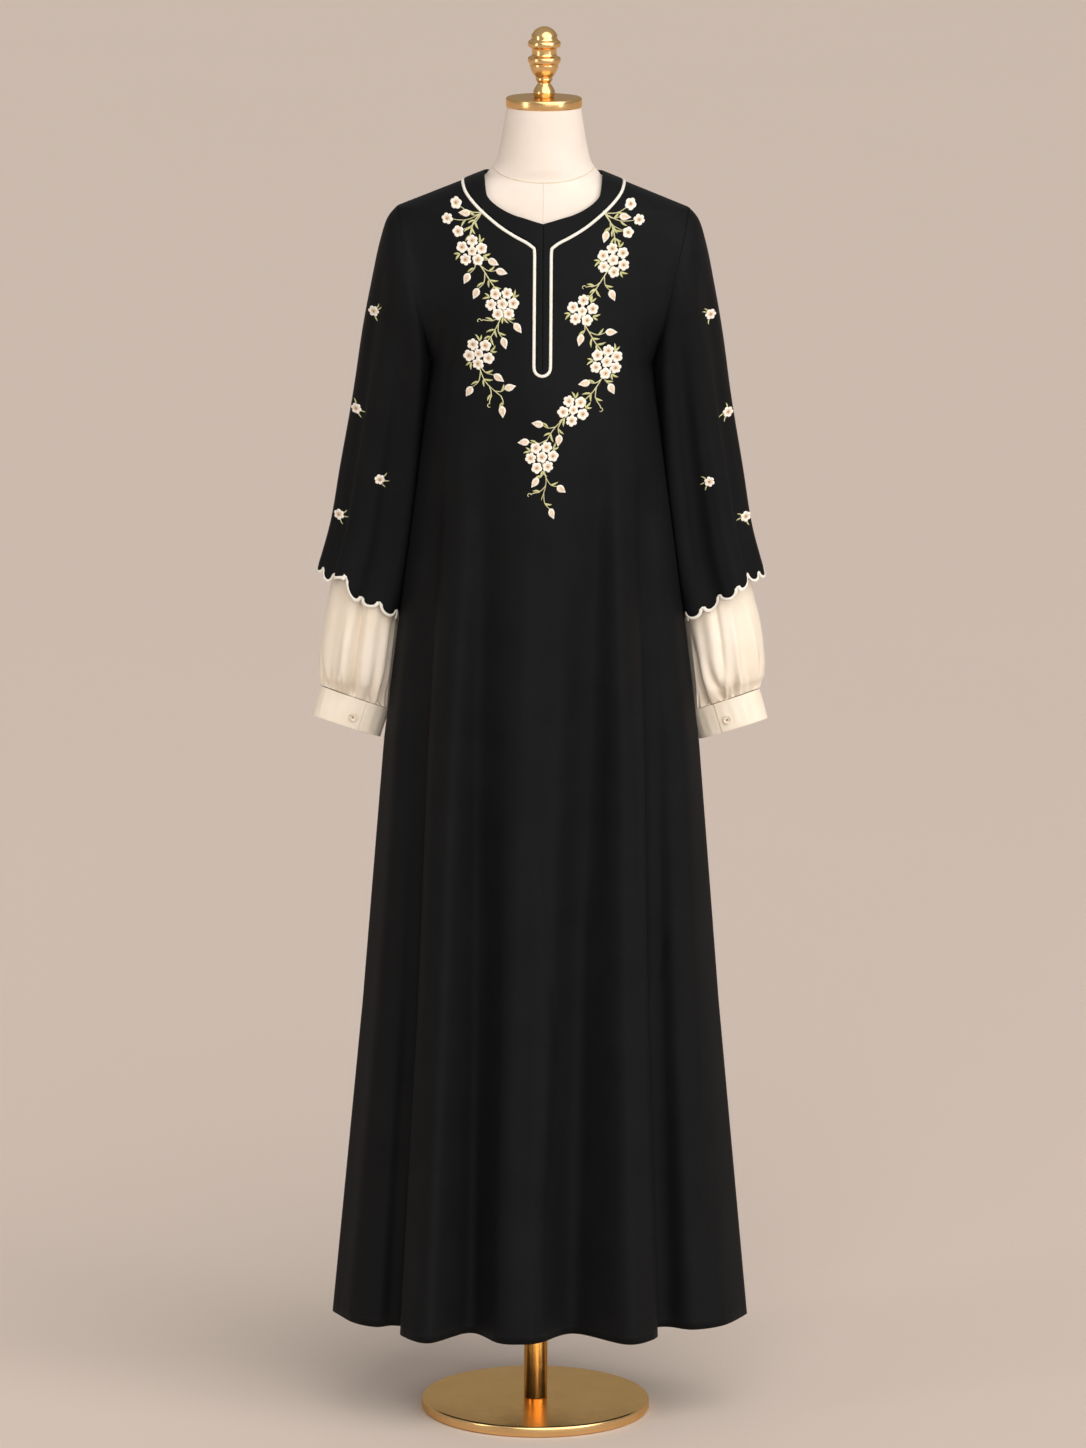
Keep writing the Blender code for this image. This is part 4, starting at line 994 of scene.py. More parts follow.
def buildSideLimits():
    step = sideTable["depthStep"]
    heights = np.arange(0.84, 1.3601, sideTable["heightStep"])
    depths = np.arange(-0.130, 0.1501, step)
    turns = np.linspace(-90, 90, 121)
    limits = {side: np.zeros((len(heights), len(depths))) for side in (-1, 1)}
    for row, height in enumerate(heights):
        outline = [panelPoint(-1, turn, height) for turn in turns]
        outline += [panelPoint(1, turn, height) for turn in turns[::-1]]
        for (x1, y1, _), (x2, y2, _) in zip(outline, outline[1:] + outline[:1]):
            if abs(y2 - y1) < 1e-9:
                continue
            first = max(0, math.ceil((min(y1, y2) - depths[0]) / step))
            last = min(len(depths) - 1, math.floor((max(y1, y2) - depths[0]) / step))
            for column in range(first, last + 1):
                across = x1 + (x2 - x1) * (depths[column] - y1) / (y2 - y1)
                for side in (-1, 1):
                    limits[side][row, column] = max(limits[side][row, column], side * across)
    return heights, depths, limits


sideHeights, sideDepths, sideLimits = buildSideLimits()


def bodySide(side, y, height):
    if height >= body["armpit"][1]:
        return bodyHalfWidth(height)
    row = min(max((height - sideHeights[0]) / sideTable["heightStep"], 0.0), len(sideHeights) - 1.001)
    column = min(max((y - sideDepths[0]) / sideTable["depthStep"], 0.0), len(sideDepths) - 1.001)
    r, c = int(row), int(column)
    table = sideLimits[side]
    upper = table[r, c] + (table[r, c + 1] - table[r, c]) * (column - c)
    lower = table[r + 1, c] + (table[r + 1, c + 1] - table[r + 1, c]) * (column - c)
    return upper + (lower - upper) * (row - r)


# outer sleeves

outerSleeve = {
    "wall": 0.0012,
    "clearance": 0.0006,
    "bodyGap": 0.0004,
    "hemGap": 0.0030,
    "columns": 192,
    "rows": 96,
    "scallops": 16,
    "scallopDepth": 0.0106,
    "hemLifts": {  # turn, half width, lift
        -1: ((60.0, 13.0, 0.0145), (90.0, 10.0, -0.0045), (14.0, 12.0, 0.0030)),
        1: ((46.0, 14.0, 0.0080), (112.0, 12.0, -0.0040), (84.0, 8.0, 0.0020)),
    },
    "halfPitch": 0.0112,
    "edgingWidth": 0.0038,
    "edgingWall": 0.0021,
    "underEdging": 0.0021,
    # outer across, outer height, inner across, inner height, half depth, middle's y
    "table": (
        (0.1825, 1.5530, 0.1405, 1.3600, 0.0520, 0.000),
        (0.1950, 1.5370, 0.1375, 1.3440, 0.0545, 0.001),
        (0.2045, 1.5060, 0.1370, 1.3250, 0.0565, 0.005),
        (0.2125, 1.4680, 0.1380, 1.3000, 0.0570, 0.011),
        (0.2257, 1.3970, 0.1400, 1.2500, 0.0560, 0.020),
        (0.2385, 1.3090, 0.1430, 1.1950, 0.0540, 0.027),
        (0.2540, 1.2200, 0.1470, 1.1420, 0.0520, 0.031),
        (0.2658, 1.1490, 0.1550, 1.0860, 0.0520, 0.032),
        (0.2815, 1.0915, 0.1668, 1.0330, 0.0535, 0.032),
    ),
    # turn round the sleeve (0 outside, 90 in front), half width, depth, first and last place
    "folds": (
        (38.0, 14.0, -0.0050, 1.0, 9.0), (66.0, 12.0, 0.0040, 1.0, 9.0), (98.0, 15.0, -0.0060, 1.0, 9.0),
        (128.0, 13.0, 0.0045, 1.0, 9.0), (-45.0, 15.0, -0.0050, 1.0, 9.0), (-80.0, 14.0, 0.0045, 1.0, 9.0),
        (-118.0, 15.0, -0.0050, 1.0, 9.0),
        (52.0, 5.0, 0.0016, 3.0, 9.0), (82.0, 5.5, 0.0014, 2.5, 9.0), (112.0, 5.0, -0.0016, 1.5, 8.0),
        (20.0, 6.0, -0.0014, 3.5, 9.0), (140.0, 5.0, -0.0016, 1.2, 6.0), (-62.0, 6.0, -0.0014, 2.5, 9.0),
        (-100.0, 6.0, 0.0014, 2.5, 9.0), (76.0, 3.2, -0.0009, 0.3, 2.4), (60.0, 3.0, -0.0008, 0.3, 2.0),
        (44.0, 3.0, -0.0008, 0.3, 2.2), (-50.0, 3.2, -0.0008, 0.3, 2.2), (-74.0, 3.2, -0.0009, 0.3, 2.4),
    ),
}


def foldDepth(folds, degrees, place):
    total = 0.0
    for turn, halfWidth, depth, first, last, *slant in folds:
        away = (degrees - turn - sum(slant) * (place - first) + 180.0) % 360.0 - 180.0
        if abs(away) < 2.6 * halfWidth:
            share = smooth((place - first) / min(3.0, 0.45 * (last - first)))
            share *= smooth((last - place) / (0.3 * (last - first)) + (1.0 if last > 8.5 else 0.0))
            total += depth * math.exp(-(away / halfWidth) ** 2) * share
    return total


def tubeSpoke(table, place, degrees, tilt=0.0):
    outerX, outerZ, innerX, innerZ, halfDepth, middle = rowCurve(table, place)
    turn = math.radians(degrees)
    centre = Vector(((outerX + innerX) / 2.0, middle, (outerZ + innerZ) / 2.0))
    arm = Vector((outerX, middle, outerZ)) - centre
    return centre, arm * math.cos(turn) + Vector((0.0, -halfDepth, tilt * halfDepth)) * math.sin(turn)


def softLimit(value, limit, ease):
    return limit + ease * math.log1p(math.exp(min(40.0, (value - limit) / ease)))


def outerSleevePoint(side, place, degrees):
    centre, spoke = tubeSpoke(outerSleeve["table"], place, degrees)
    spoke += spoke.normalized() * foldDepth(outerSleeve["folds"], degrees, place)
    point = centre + spoke
    reach = smooth(place / 1.5)
    limit = bodySide(side, point.y, point.z) + outerSleeve["bodyGap"] + outerSleeve["clearance"] * reach
    if place <= 0.0:
        point.x = bodyHalfWidth(point.z) + outerSleeve["bodyGap"]
    elif point.x < limit + 0.02:
        point.x = softLimit(point.x, limit, 0.0004 + 0.0008 * reach)
    return point


def sleeveHemPoint(side, degrees, drop):
    place = len(outerSleeve["table"]) - 1
    low = outerSleevePoint(side, place, degrees)
    above = outerSleevePoint(side, place - 0.4, degrees)
    for turn, halfWidth, lift in outerSleeve["hemLifts"][side]:
        drop -= lift * math.exp(-(((degrees - turn + 180.0) % 360.0 - 180.0) / halfWidth) ** 2)
    point = low + (low - above).normalized() * drop
    point.x = max(point.x, bodySide(side, point.y, point.z) + outerSleeve["hemGap"])
    return point


def scallopRadius():
    half, depth = outerSleeve["halfPitch"], outerSleeve["scallopDepth"]
    return (half ** 2 + depth ** 2) / (2.0 * depth)


def scallopDrop(share):
    radius = scallopRadius()
    across = (2.0 * share - 1.0) * outerSleeve["halfPitch"]
    return math.sqrt(radius ** 2 - across ** 2) - radius + outerSleeve["scallopDepth"]


def sideGrid(rows, side):
    grid = np.array([[tuple(point) for point in row] for row in rows])
    if side < 0:
        grid = grid[:, ::-1].copy()
        grid[:, :, 0] *= -1.0
    return grid


def outerSleeveGrid(side):
    columns, last = outerSleeve["columns"], len(outerSleeve["table"]) - 1
    turns = [-360.0 * column / columns for column in range(columns)]
    rows = []
    for step in range(outerSleeve["rows"] + 1):
        place = (last - 0.5) * (step / outerSleeve["rows"]) ** 1.1
        rows.append([outerSleevePoint(side, place, turn) for turn in turns])
    perScallop = columns // outerSleeve["scallops"]
    for share in (0.2, 0.4, 0.6, 0.8, 1.0):
        row = []
        for column, turn in enumerate(turns):
            drop = scallopDrop((column % perScallop) / perScallop) - outerSleeve["underEdging"]
            above = outerSleevePoint(side, last - 0.5, turn)
            row.append(above.lerp(sleeveHemPoint(side, turn, drop), share))
        rows.append(row)
    return sideGrid(rows, side)


# along one scallop: place on its outer edge, and the way into the cloth there
def scallopStations():
    half, radius = outerSleeve["halfPitch"], scallopRadius()
    widest = math.asin(half / radius)
    stations = [(-half, 0.0, 0.0, -0.60)]
    for step in range(19):
        turn = widest * (step / 9 - 1.0)
        drop = radius * math.cos(turn) - radius + outerSleeve["scallopDepth"]
        stations.append((radius * math.sin(turn), drop, -math.sin(turn), -math.cos(turn)))
    return stations


# the scalloped edge is satin stitched, a rounded band of even width along each arc
def edgingGrid(side):
    width, wall = outerSleeve["edgingWidth"], outerSleeve["edgingWall"]
    half, scallops = outerSleeve["halfPitch"], outerSleeve["scallops"]
    section = []
    for step in range(14):
        turn = math.tau * step / 14
        lift = math.copysign(abs(math.sin(turn)) ** 0.7, math.sin(turn)) * wall / 2.0
        section.append((width * (0.5 - 0.5 * math.cos(turn)), lift))
    grid = []
    for inset, lift in section:
        line = []
        for scallop in range(scallops):
            for across, drop, leanAcross, leanDown in scallopStations():
                place = (across + leanAcross * inset) / (2.0 * half) + 0.5
                degrees = -360.0 * (scallop + place) / scallops
                down = drop + leanDown * inset
                point = sleeveHemPoint(side, degrees, down)
                above = sleeveHemPoint(side, degrees, down - 0.002)
                before = sleeveHemPoint(side, degrees + 1.0, down)
                after = sleeveHemPoint(side, degrees - 1.0, down)
                normal = (point - above).cross(after - before).normalized()
                line.append(point + normal * (lift - outerSleeve["wall"] / 2.0))
        grid.append(line)
    return sideGrid(grid, side)


def edgingPiece(name, side):
    grid = edgingGrid(side)
    points = np.concatenate([grid, grid[:1]]).mean(axis=0)
    along = lengthsAlong(np.concatenate([points, points[:1]]))
    faces, corners = gridFaces(*grid.shape[:2], closed=True, ring=True)
    coords = cornerCoords(corners, lambda r, c: (along[c], r * 0.0007))
    verts = grid.reshape(-1, 3).tolist()
    return outwards(meshPiece(name, verts, faces, "lay", coords, threads["creamCord"]))


sleevePieces = {}
for word, side in (("Left", -1), ("Right", 1)):
    grid = outerSleeveGrid(side)
    piece = sheetPiece("outerSleeve" + word, grid, crepe, closed=True)
    area = sheetArea(piece)
    thicken(piece, outerSleeve["wall"])
    finishPiece(piece, "black_crepe", "outer_sleeve_" + word.lower())
    edging = edgingPiece("scallopEdging" + word, side)
    finishPiece(edging, "cream_cord", "scallop_edging_" + word.lower())
    sleevePieces["outer" + word] = (piece, area, edging)
    print("outerSleeve" + word, "area", round(area, 4))
print("outer sleeves made")


# inner sleeves, gathered into their cuffs

innerSleeve = {
    "wall": 0.0010,
    "clearance": 0.0056,
    "columns": 228,
    "rows": 84,
    "gathers": 30,
    "gatherDepth": 0.0024,
    "billowDepth": 0.0013,
    "tilt": 0.15,
    "table": (
        (0.2600, 1.1300, 0.1640, 1.0800, 0.0415, 0.032),
        (0.2620, 1.0920, 0.1690, 1.0500, 0.0410, 0.032),
        (0.2685, 1.0520, 0.1730, 1.0150, 0.0425, 0.033),
        (0.2755, 1.0150, 0.1760, 0.9830, 0.0450, 0.034),
        (0.2800, 0.9760, 0.1800, 0.9505, 0.0440, 0.035),
        (0.2795, 0.9530, 0.1850, 0.9300, 0.0390, 0.035),
        (0.2775, 0.9425, 0.1893, 0.9130, 0.0300, 0.035),
        (0.2770, 0.9365, 0.1910, 0.9070, 0.0255, 0.035),
    ),
    "folds": {  # turn, half width, depth, first and last place, slant
        -1: (
            (44.0, 12.0, -0.0024, 0.0, 6.6), (84.0, 6.5, -0.0120, 0.0, 7.6),
            (104.0, 10.0, 0.0036, 0.0, 6.6), (124.0, 9.0, 0.0048, 0.0, 7.2),
            (147.0, 9.0, -0.0120, 0.0, 7.4, -1.2), (-60.0, 14.0, -0.0060, 0.0, 6.6),
            (-110.0, 14.0, -0.0060, 0.0, 6.6), (68.0, 8.0, 0.0030, 1.0, 6.8),
            (22.0, 5.0, -0.0034, 3.5, 7.4, 3.0), (112.0, 4.0, -0.0040, 3.2, 7.2, 2.0),
            (44.0, 4.0, -0.0026, 3.6, 7.2, -3.0),
        ),
        1: (
            (52.0, 11.0, -0.0036, 0.0, 6.6), (88.0, 4.0, -0.0034, 0.0, 4.6),
            (112.0, 6.0, -0.0078, 3.0, 7.4, -6.0), (100.0, 9.0, 0.0038, 0.0, 6.6),
            (122.0, 8.0, 0.0040, 1.0, 7.0, -2.0), (138.0, 7.5, -0.0105, 1.5, 7.4, -2.6),
            (-60.0, 14.0, -0.0060, 0.0, 6.6), (-110.0, 14.0, -0.0060, 0.0, 6.6),
            (66.0, 5.0, 0.0028, 1.5, 6.4), (34.0, 6.0, 0.0024, 1.5, 6.4),
            (20.0, 5.0, -0.0034, 3.2, 7.2, 3.0), (0.0, 36.0, 0.0042, 0.6, 6.6),
            (70.0, 4.0, -0.0036, 3.8, 7.2, 2.5),
        ),
    },
}


def gatherWave(side, degrees, place):
    turn = math.radians(degrees)
    wander = 1.1 * math.sin(3.0 * turn + side) + 0.7 * math.sin(7.0 * turn + 2.0 * side)
    fine = math.sin(innerSleeve["gathers"] * turn + wander)
    broad = math.sin(innerSleeve["gathers"] / 3.0 * turn + 1.7 * wander + 0.8)
    start = 4.6 + 0.8 * math.sin(4.0 * turn + 0.6 * side) + 0.4 * math.sin(11.0 * turn)
    gather = fine * smooth((place - start) / 1.4) * (0.8 + 0.35 * math.sin(5.0 * turn + 1.3))
    billow = broad * smooth((place - start + 1.8) / 2.4) * (1.0 - 0.6 * smooth((place - 5.6) / 1.4))
    rise = innerSleeve["gatherDepth"] * gather + innerSleeve["billowDepth"] * billow
    return rise * (1.0 - 0.35 * smooth((place - 6.4) / 0.6))


def innerSleevePoint(side, place, degrees):
    table = innerSleeve["table"]
    centre, spoke = tubeSpoke(table, place, degrees, innerSleeve["tilt"] * smooth((place - 3.5) / 2.5))
    direction = spoke.normalized()
    spoke += direction * foldDepth(innerSleeve["folds"][side], degrees, place) * smooth(place / 2.0)
    spoke += direction * gatherWave(side, degrees, place)
    point = centre + spoke
    limit = bodySide(side, point.y, point.z) + innerSleeve["clearance"]
    if point.x < limit + 0.02:
        point.x = softLimit(point.x, limit, 0.0016)
    return point


def innerSleeveGrid(side):
    columns, last = innerSleeve["columns"], len(innerSleeve["table"]) - 1
    turns = [-360.0 * column / columns for column in range(columns)]
    rows = []
    for step in range(innerSleeve["rows"] + 1):
        place = last * (1.0 - (1.0 - step / innerSleeve["rows"]) ** 1.15)
        rows.append([innerSleevePoint(side, place, turn) for turn in turns])
    return sideGrid(rows, side)


for word, side in (("Left", -1), ("Right", 1)):
    grid = innerSleeveGrid(side)
    piece = sheetPiece("innerSleeve" + word, grid, satin, closed=True)
    area = sheetArea(piece)
    thicken(piece, innerSleeve["wall"])
    finishPiece(piece, "ivory_satin", "inner_sleeve_" + word.lower())
    sleevePieces["inner" + word] = (piece, area)
    print("innerSleeve" + word, "area", round(area, 4))


# cuffs: one strip whose end passes under its start, topstitched along both edges

cuff = {
    "wall": 0.0010,
    "columns": 168,
    "rows": 12,
    "lap": 0.07,
    "startTurn": 110.0,
    "underStart": 0.86,
    "underEase": 0.08,
    "buttonTurn": 96.0,
    "stitchLines": (0.055, 0.945),
    "stitchSpan": (0.006, 0.85),
    "table": (
        (0.2780, 0.9355, 0.1905, 0.9060, 0.0260, 0.035),
        (0.2890, 0.8975, 0.2025, 0.8700, 0.0270, 0.035),
    ),
}
cuffStitch = {"pitch": 0.0026, "fill": 0.76, "width": 0.00045, "rise": 0.00026, "sink": 0.0002}


def cuffPoint(place, degrees, lift=0.0):
    centre, spoke = tubeSpoke(cuff["table"], place, degrees, innerSleeve["tilt"])
    turn = math.radians(degrees)
    ripple = 0.0003 * math.sin(9.0 * turn + 2.0) + 0.0002 * math.sin(23.0 * turn)
    return centre + spoke + spoke.normalized() * (lift + ripple * math.sin(math.pi * place))


# across the cuff's width at one place, from the lap's outer end round to the end beneath it
def cuffLine(place, lift=0.0, first=0.0, last=1.0):
    points = []
    for column in range(cuff["columns"] + 1):
        share = first + (last - first) * column / cuff["columns"]
        turn = cuff["startTurn"] - share * 360.0 * (1.0 + cuff["lap"])
        under = smooth((share - cuff["underStart"]) / cuff["underEase"])
        points.append(cuffPoint(place, turn, lift - under * (cuff["wall"] + 0.0002)))
    return points


for word, side in (("Left", -1), ("Right", 1)):
    rows = [cuffLine(row / cuff["rows"]) for row in range(cuff["rows"] + 1)]
    piece = sheetPiece("cuff" + word, sideGrid(rows, side), satin)
    area = sheetArea(piece)
    thicken(piece, cuff["wall"], 0.0004)
    finishPiece(piece, "ivory_satin", "cuff_" + word.lower())
    store = {"verts": [], "faces": []}
    for place in cuff["stitchLines"]:
        line = sideGrid([cuffLine(place, 0.0, *cuff["stitchSpan"])], side)[0]
        outer = sideGrid([cuffLine(place, 0.002, *cuff["stitchSpan"])], side)[0]
        stitchRow(line, outer - line, cuffStitch, store)
    stitching = finishPiece(stitchPiece("cuffStitching" + word, store, threads["ivoryThread"]), "ivory_satin")
    sleevePieces["cuff" + word] = (piece, area, stitching)
    print("cuff" + word, "area", round(area, 5))
print("inner sleeves and cuffs made")


# hard pieces, modelled with Blender's own operators

# a disc drawn upwards ring by ring: height, half width, half depth, middle's y
def raisedPiece(name, rings, sides, finish, sharp):
    bpy.ops.object.select_all(action="DESELECT")
    height, wide, deep, middle = rings[0]
    bpy.ops.mesh.primitive_circle_add(vertices=sides, radius=1.0, fill_type="NGON", location=(0.0, 0.0, 0.0))
    piece = bpy.context.object
    piece.name = name
    editAll(piece)
    bpy.ops.transform.resize(value=(wide, deep, 1.0), center_override=(0.0, 0.0, 0.0))
    bpy.ops.transform.translate(value=(0.0, middle, height))
    for nextHeight, nextWide, nextDeep, nextMiddle in rings[1:]:
        move = (0.0, nextMiddle - middle, nextHeight - height)
        bpy.ops.mesh.extrude_region_move(TRANSFORM_OT_translate={"value": move})
        growth = (nextWide / wide, nextDeep / deep, 1.0)
        bpy.ops.transform.resize(value=growth, center_override=(0.0, nextMiddle, nextHeight))
        height, wide, deep, middle = nextHeight, nextWide, nextDeep, nextMiddle
    leaveEdit(piece)
    return dressHard(piece, finish, sharp)


def dressHard(piece, finish, sharp):
    piece.data.materials.clear()
    piece.data.materials.append(finish)
    piece.select_set(True)
    bpy.ops.object.shade_smooth_by_angle(angle=math.radians(sharp))
    piece.select_set(False)
    return piece


def roundRings(profile, start=0.0):
    return [(start + height, radius, radius, 0.0) for height, radius in profile]


stand = {
    "capBottom": 1.6775,
    "finialBottom": 1.6906,
    "poleBottom": 0.0143,
    "poleTop": 0.7897,
    "poleRadius": 0.0150,
    "poleChamfer": 0.0006,
    "tipRadius": 0.0003,
    # height, radius
    "base": (
        (0.0000, 0.1425), (0.0006, 0.1442), (0.0018, 0.1455), (0.0032, 0.1460), (0.0108, 0.1460),
        (0.0122, 0.1457), (0.0133, 0.1448), (0.0139, 0.1436), (0.0140, 0.1424),
    ),
    "cap": (
        (0.0000, 0.0452), (0.0004, 0.0463), (0.0013, 0.0471), (0.0026, 0.0474), (0.0102, 0.0474),
        (0.0115, 0.0471), (0.0123, 0.0464), (0.0127, 0.0455), (0.0128, 0.0440),
    ),
    "finial": (
        (0.0000, 0.0122), (0.0060, 0.0137), (0.0125, 0.0108), (0.0172, 0.0080), (0.0212, 0.0104),
        (0.0245, 0.0104), (0.0300, 0.0145), (0.0375, 0.0176), (0.0412, 0.0178), (0.0430, 0.0197),
        (0.0462, 0.0205), (0.0494, 0.0197), (0.0518, 0.0158), (0.0568, 0.0153), (0.0604, 0.0160),
        (0.0630, 0.0197), (0.0662, 0.0205), (0.0694, 0.0197), (0.0716, 0.0168), (0.0775, 0.0158),
        (0.0830, 0.0118), (0.0868, 0.0060), (0.0881, 0.0003),
    ),
}



def poleRings():
    low, high, radius, edge = stand["poleBottom"], stand["poleTop"], stand["poleRadius"], stand["poleChamfer"]
    ends = radius - edge
    return roundRings(((low, ends), (low + edge, radius), (high - edge, radius), (high, ends)))


def finialRings():
    turned = [(height, max(stand["tipRadius"], radius)) for height, radius in alongRows(stand["finial"], 110)]
    return roundRings(turned, stand["finialBottom"])


for name, node, rings, sides, sharp in (
    ("baseDisc", "base_disc", roundRings(stand["base"]), 144, 50.0),
    ("neckCap", "neck_cap", roundRings(stand["cap"], stand["capBottom"]), 96, 50.0),
    ("finialKnobs", "finial", finialRings(), 64, 60.0),
    ("poleTube", "pole", poleRings(), 64, 50.0),
):
    finishPiece(raisedPiece(name, rings, sides, brass, sharp), "brass", node)
print("brass pieces made")


# the dress form under the cloth

form = {
    # height, half width, depth in front, depth behind
    "sections": (
        (1.6772, 0.0455, 0.0455, 0.0455), (1.6745, 0.0468, 0.0468, 0.0468), (1.6395, 0.0525, 0.0500, 0.0500),
        (1.6155, 0.0578, 0.0525, 0.0525), (1.6045, 0.0628, 0.0535, 0.0540), (1.5980, 0.0682, 0.0530, 0.0545),
        (1.5915, 0.0745, 0.0530, 0.0550), (1.5840, 0.0930, 0.0555, 0.0600), (1.5740, 0.1165, 0.0580, 0.0645),
        (1.5640, 0.1410, 0.0605, 0.0680), (1.5550, 0.1600, 0.0625, 0.0705), (1.5470, 0.1680, 0.0645, 0.0735),
        (1.5350, 0.1705, 0.0685, 0.0765), (1.5100, 0.1665, 0.0770, 0.0820), (1.4600, 0.1555, 0.0915, 0.0910),
        (1.4000, 0.1400, 0.1050, 0.0950), (1.3400, 0.1290, 0.1140, 0.0950), (1.2900, 0.1290, 0.1180, 0.0900),
        (1.2200, 0.1200, 0.1020, 0.0800), (1.1300, 0.1080, 0.0830, 0.0720), (1.0400, 0.1280, 0.0900, 0.0880),
        (0.9500, 0.1480, 0.0990, 0.1000), (0.8700, 0.1520, 0.1000, 0.1020), (0.8150, 0.1460, 0.0950, 0.0970),
        (0.7960, 0.1320, 0.0840, 0.0860), (0.7900, 0.1150, 0.0700, 0.0720),
    ),
    "neckSeam": {"front": 1.5894, "side": 1.6039, "back": 1.6090},
    "seamLength": 0.075,
    "welt": 0.0007,
}


def formRings():
    upwards = tuple(reversed(form["sections"]))
    rows = [rowCurve(upwards, step / 3) for step in range(3 * (len(upwards) - 1))] + [upwards[-1]]
    return [(height, wide, (front + back) / 2.0, (back - front) / 2.0) for height, wide, front, back in rows]


def formSpot(turn, height, lift=0.0):
    rows = tuple(reversed(form["sections"]))
    wide = smoothValue(rows, height, 1)
    front, back = smoothValue(rows, height, 2), smoothValue(rows, height, 3)
    deep, middle = (front + back) / 2.0, (back - front) / 2.0
    spot = Vector((wide * math.cos(turn), deep * math.sin(turn) + middle, height))
    out = Vector((math.cos(turn) / wide, math.sin(turn) / deep, 0.0)).normalized()
    return spot + out * lift, out


formPiece = raisedPiece("dressForm", formRings(), 96, cover, 70.0)
wrap = formPiece.data.uv_layers.new(name="cut")
for loop in formPiece.data.loops:
    spot = formPiece.data.vertices[loop.vertex_index].co
    wrap.data[loop.index].uv = (math.atan2(spot.y, spot.x) * 0.075, spot.z)
finishPiece(formPiece, "form_cover", "dress_form")


def roundSection(radius):
    return [(radius * math.cos(math.tau * k / 8), radius * math.sin(math.tau * k / 8)) for k in range(8)]


def formWelt(name, spots, radius, closed=False):
    points, normals = zip(*spots)
    thread = threads["ivoryThread"]
    finishPiece(cordPiece(name, points, normals, roundSection(radius), thread, closed), "form_cover")


def neckSeamSpot(turn):
    seam, lean = form["neckSeam"], math.sin(turn)
    far = seam["back"] if lean > 0 else seam["front"]
    return formSpot(turn, seam["side"] + lean ** 2 * (far - seam["side"]), 0.0001)


formWelt("neckSeam", [neckSeamSpot(math.tau * step / 120) for step in range(120)], form["welt"], closed=True)
for name, turn, end in (("frontSeam", -math.pi / 2, "front"), ("backSeam", math.pi / 2, "back")):
    top = form["neckSeam"][end] - 0.0004
    spots = [formSpot(turn, top - form["seamLength"] * step / 24) for step in range(25)]
    formWelt(name, spots, 0.6 * form["welt"])
print("dress form made")


# cuff buttons, one copied to the other side

button = {
    "place": 0.60, "off": 0.0006, "radius": 0.0050, "height": 0.0022, "rim": 0.0011, "dish": 0.0007,
    "rounding": 0.0003, "hole": 0.00055, "holeAway": 0.00077, "strand": 0.00027,
}


def buttonPiece(name, side, model):
    middle, turn = button["place"], cuff["buttonTurn"]
    up = (cuffPoint(middle - 0.1, turn) - cuffPoint(middle + 0.1, turn)).normalized()
    across = (cuffPoint(middle, turn - 3.0) - cuffPoint(middle, turn + 3.0)).normalized()
    out = across.cross(up).normalized()
    across = up.cross(out)
    place = cuffPoint(middle, turn) + out * button["off"]
    piece = addPiece(name, model.data.copy())
    piece.data.name = name
    seat = Matrix.Translation(place) @ Matrix((across, up, out)).transposed().to_4x4()
    if side < 0:
        seat = Matrix.Diagonal((-1.0, 1.0, 1.0, 1.0)) @ seat
    piece.data.transform(seat)
    return outwards(piece)


def addRod(sides, radius, length, across=0.0, up=0.0):
    spot = (across, up, button["height"] / 2.0)
    bpy.ops.object.select_all(action="DESELECT")
    bpy.ops.mesh.primitive_cylinder_add(vertices=sides, radius=radius, depth=length, location=spot)
    rod = bpy.context.object
    bpy.ops.object.transform_apply(location=True, rotation=True, scale=True)
    return rod


def joined(pieces):
    bpy.ops.object.select_all(action="DESELECT")
    for piece in pieces:
        piece.select_set(True)
    bpy.context.view_layer.objects.active = pieces[0]
    bpy.ops.object.join()
    pieces[0].select_set(False)
    return pieces[0]


def buttonModel():
    model = addRod(48, button["radius"], button["height"])
    editAll(model)
    bpy.ops.mesh.select_mode(type="FACE")
    bpy.ops.mesh.select_all(action="DESELECT")
    bpy.ops.object.mode_set(mode="OBJECT")
    for face in model.data.polygons:
        face.select = face.normal.z > 0.9
    bpy.ops.object.mode_set(mode="EDIT")
    bpy.ops.mesh.inset(thickness=button["rim"])
    bpy.ops.mesh.extrude_region_move(TRANSFORM_OT_translate={"value": (0.0, 0.0, -button["dish"])})
    bpy.ops.transform.resize(value=(0.86, 0.86, 1.0), center_override=(0.0, 0.0, button["height"]))
    leaveEdit(model)
    addBevel(model, button["rounding"], 3, 30.0)
    applyModifiers(model)
    away = button["holeAway"]
    cutter = joined([
        addRod(12, button["hole"], 0.008, x * away, y * away) for x, y in ((1, 1), (1, -1), (-1, 1), (-1, -1))
    ])
    cut = model.modifiers.new("holes", "BOOLEAN")
    cut.operation = "DIFFERENCE"
    cut.solver = "EXACT"
    cut.object = cutter
    applyModifiers(model)
    bpy.data.objects.remove(cutter, do_unlink=True)
    return dressHard(model, shell, 35.0)


def threadModel():
    reach, top = button["holeAway"], button["height"] - button["dish"]
    pieces = []
    for sign in (-1, 1):
        for strand in (-1, 1):
            path = []
            for step in range(13):
                share = step / 12
                bow = math.sin(math.pi * share)
                x, beside = reach * (2.0 * share - 1.0), strand * 0.00012
                path.append((x + beside, sign * (x - beside), top - 0.0006 + 0.0011 * bow ** 0.5))
            section = roundSection(button["strand"])
            pieces.append(cordPiece("strand", path, [(0.0, 0.0, 1.0)] * 13, section, threads["brownThread"]))
    return joined(pieces)


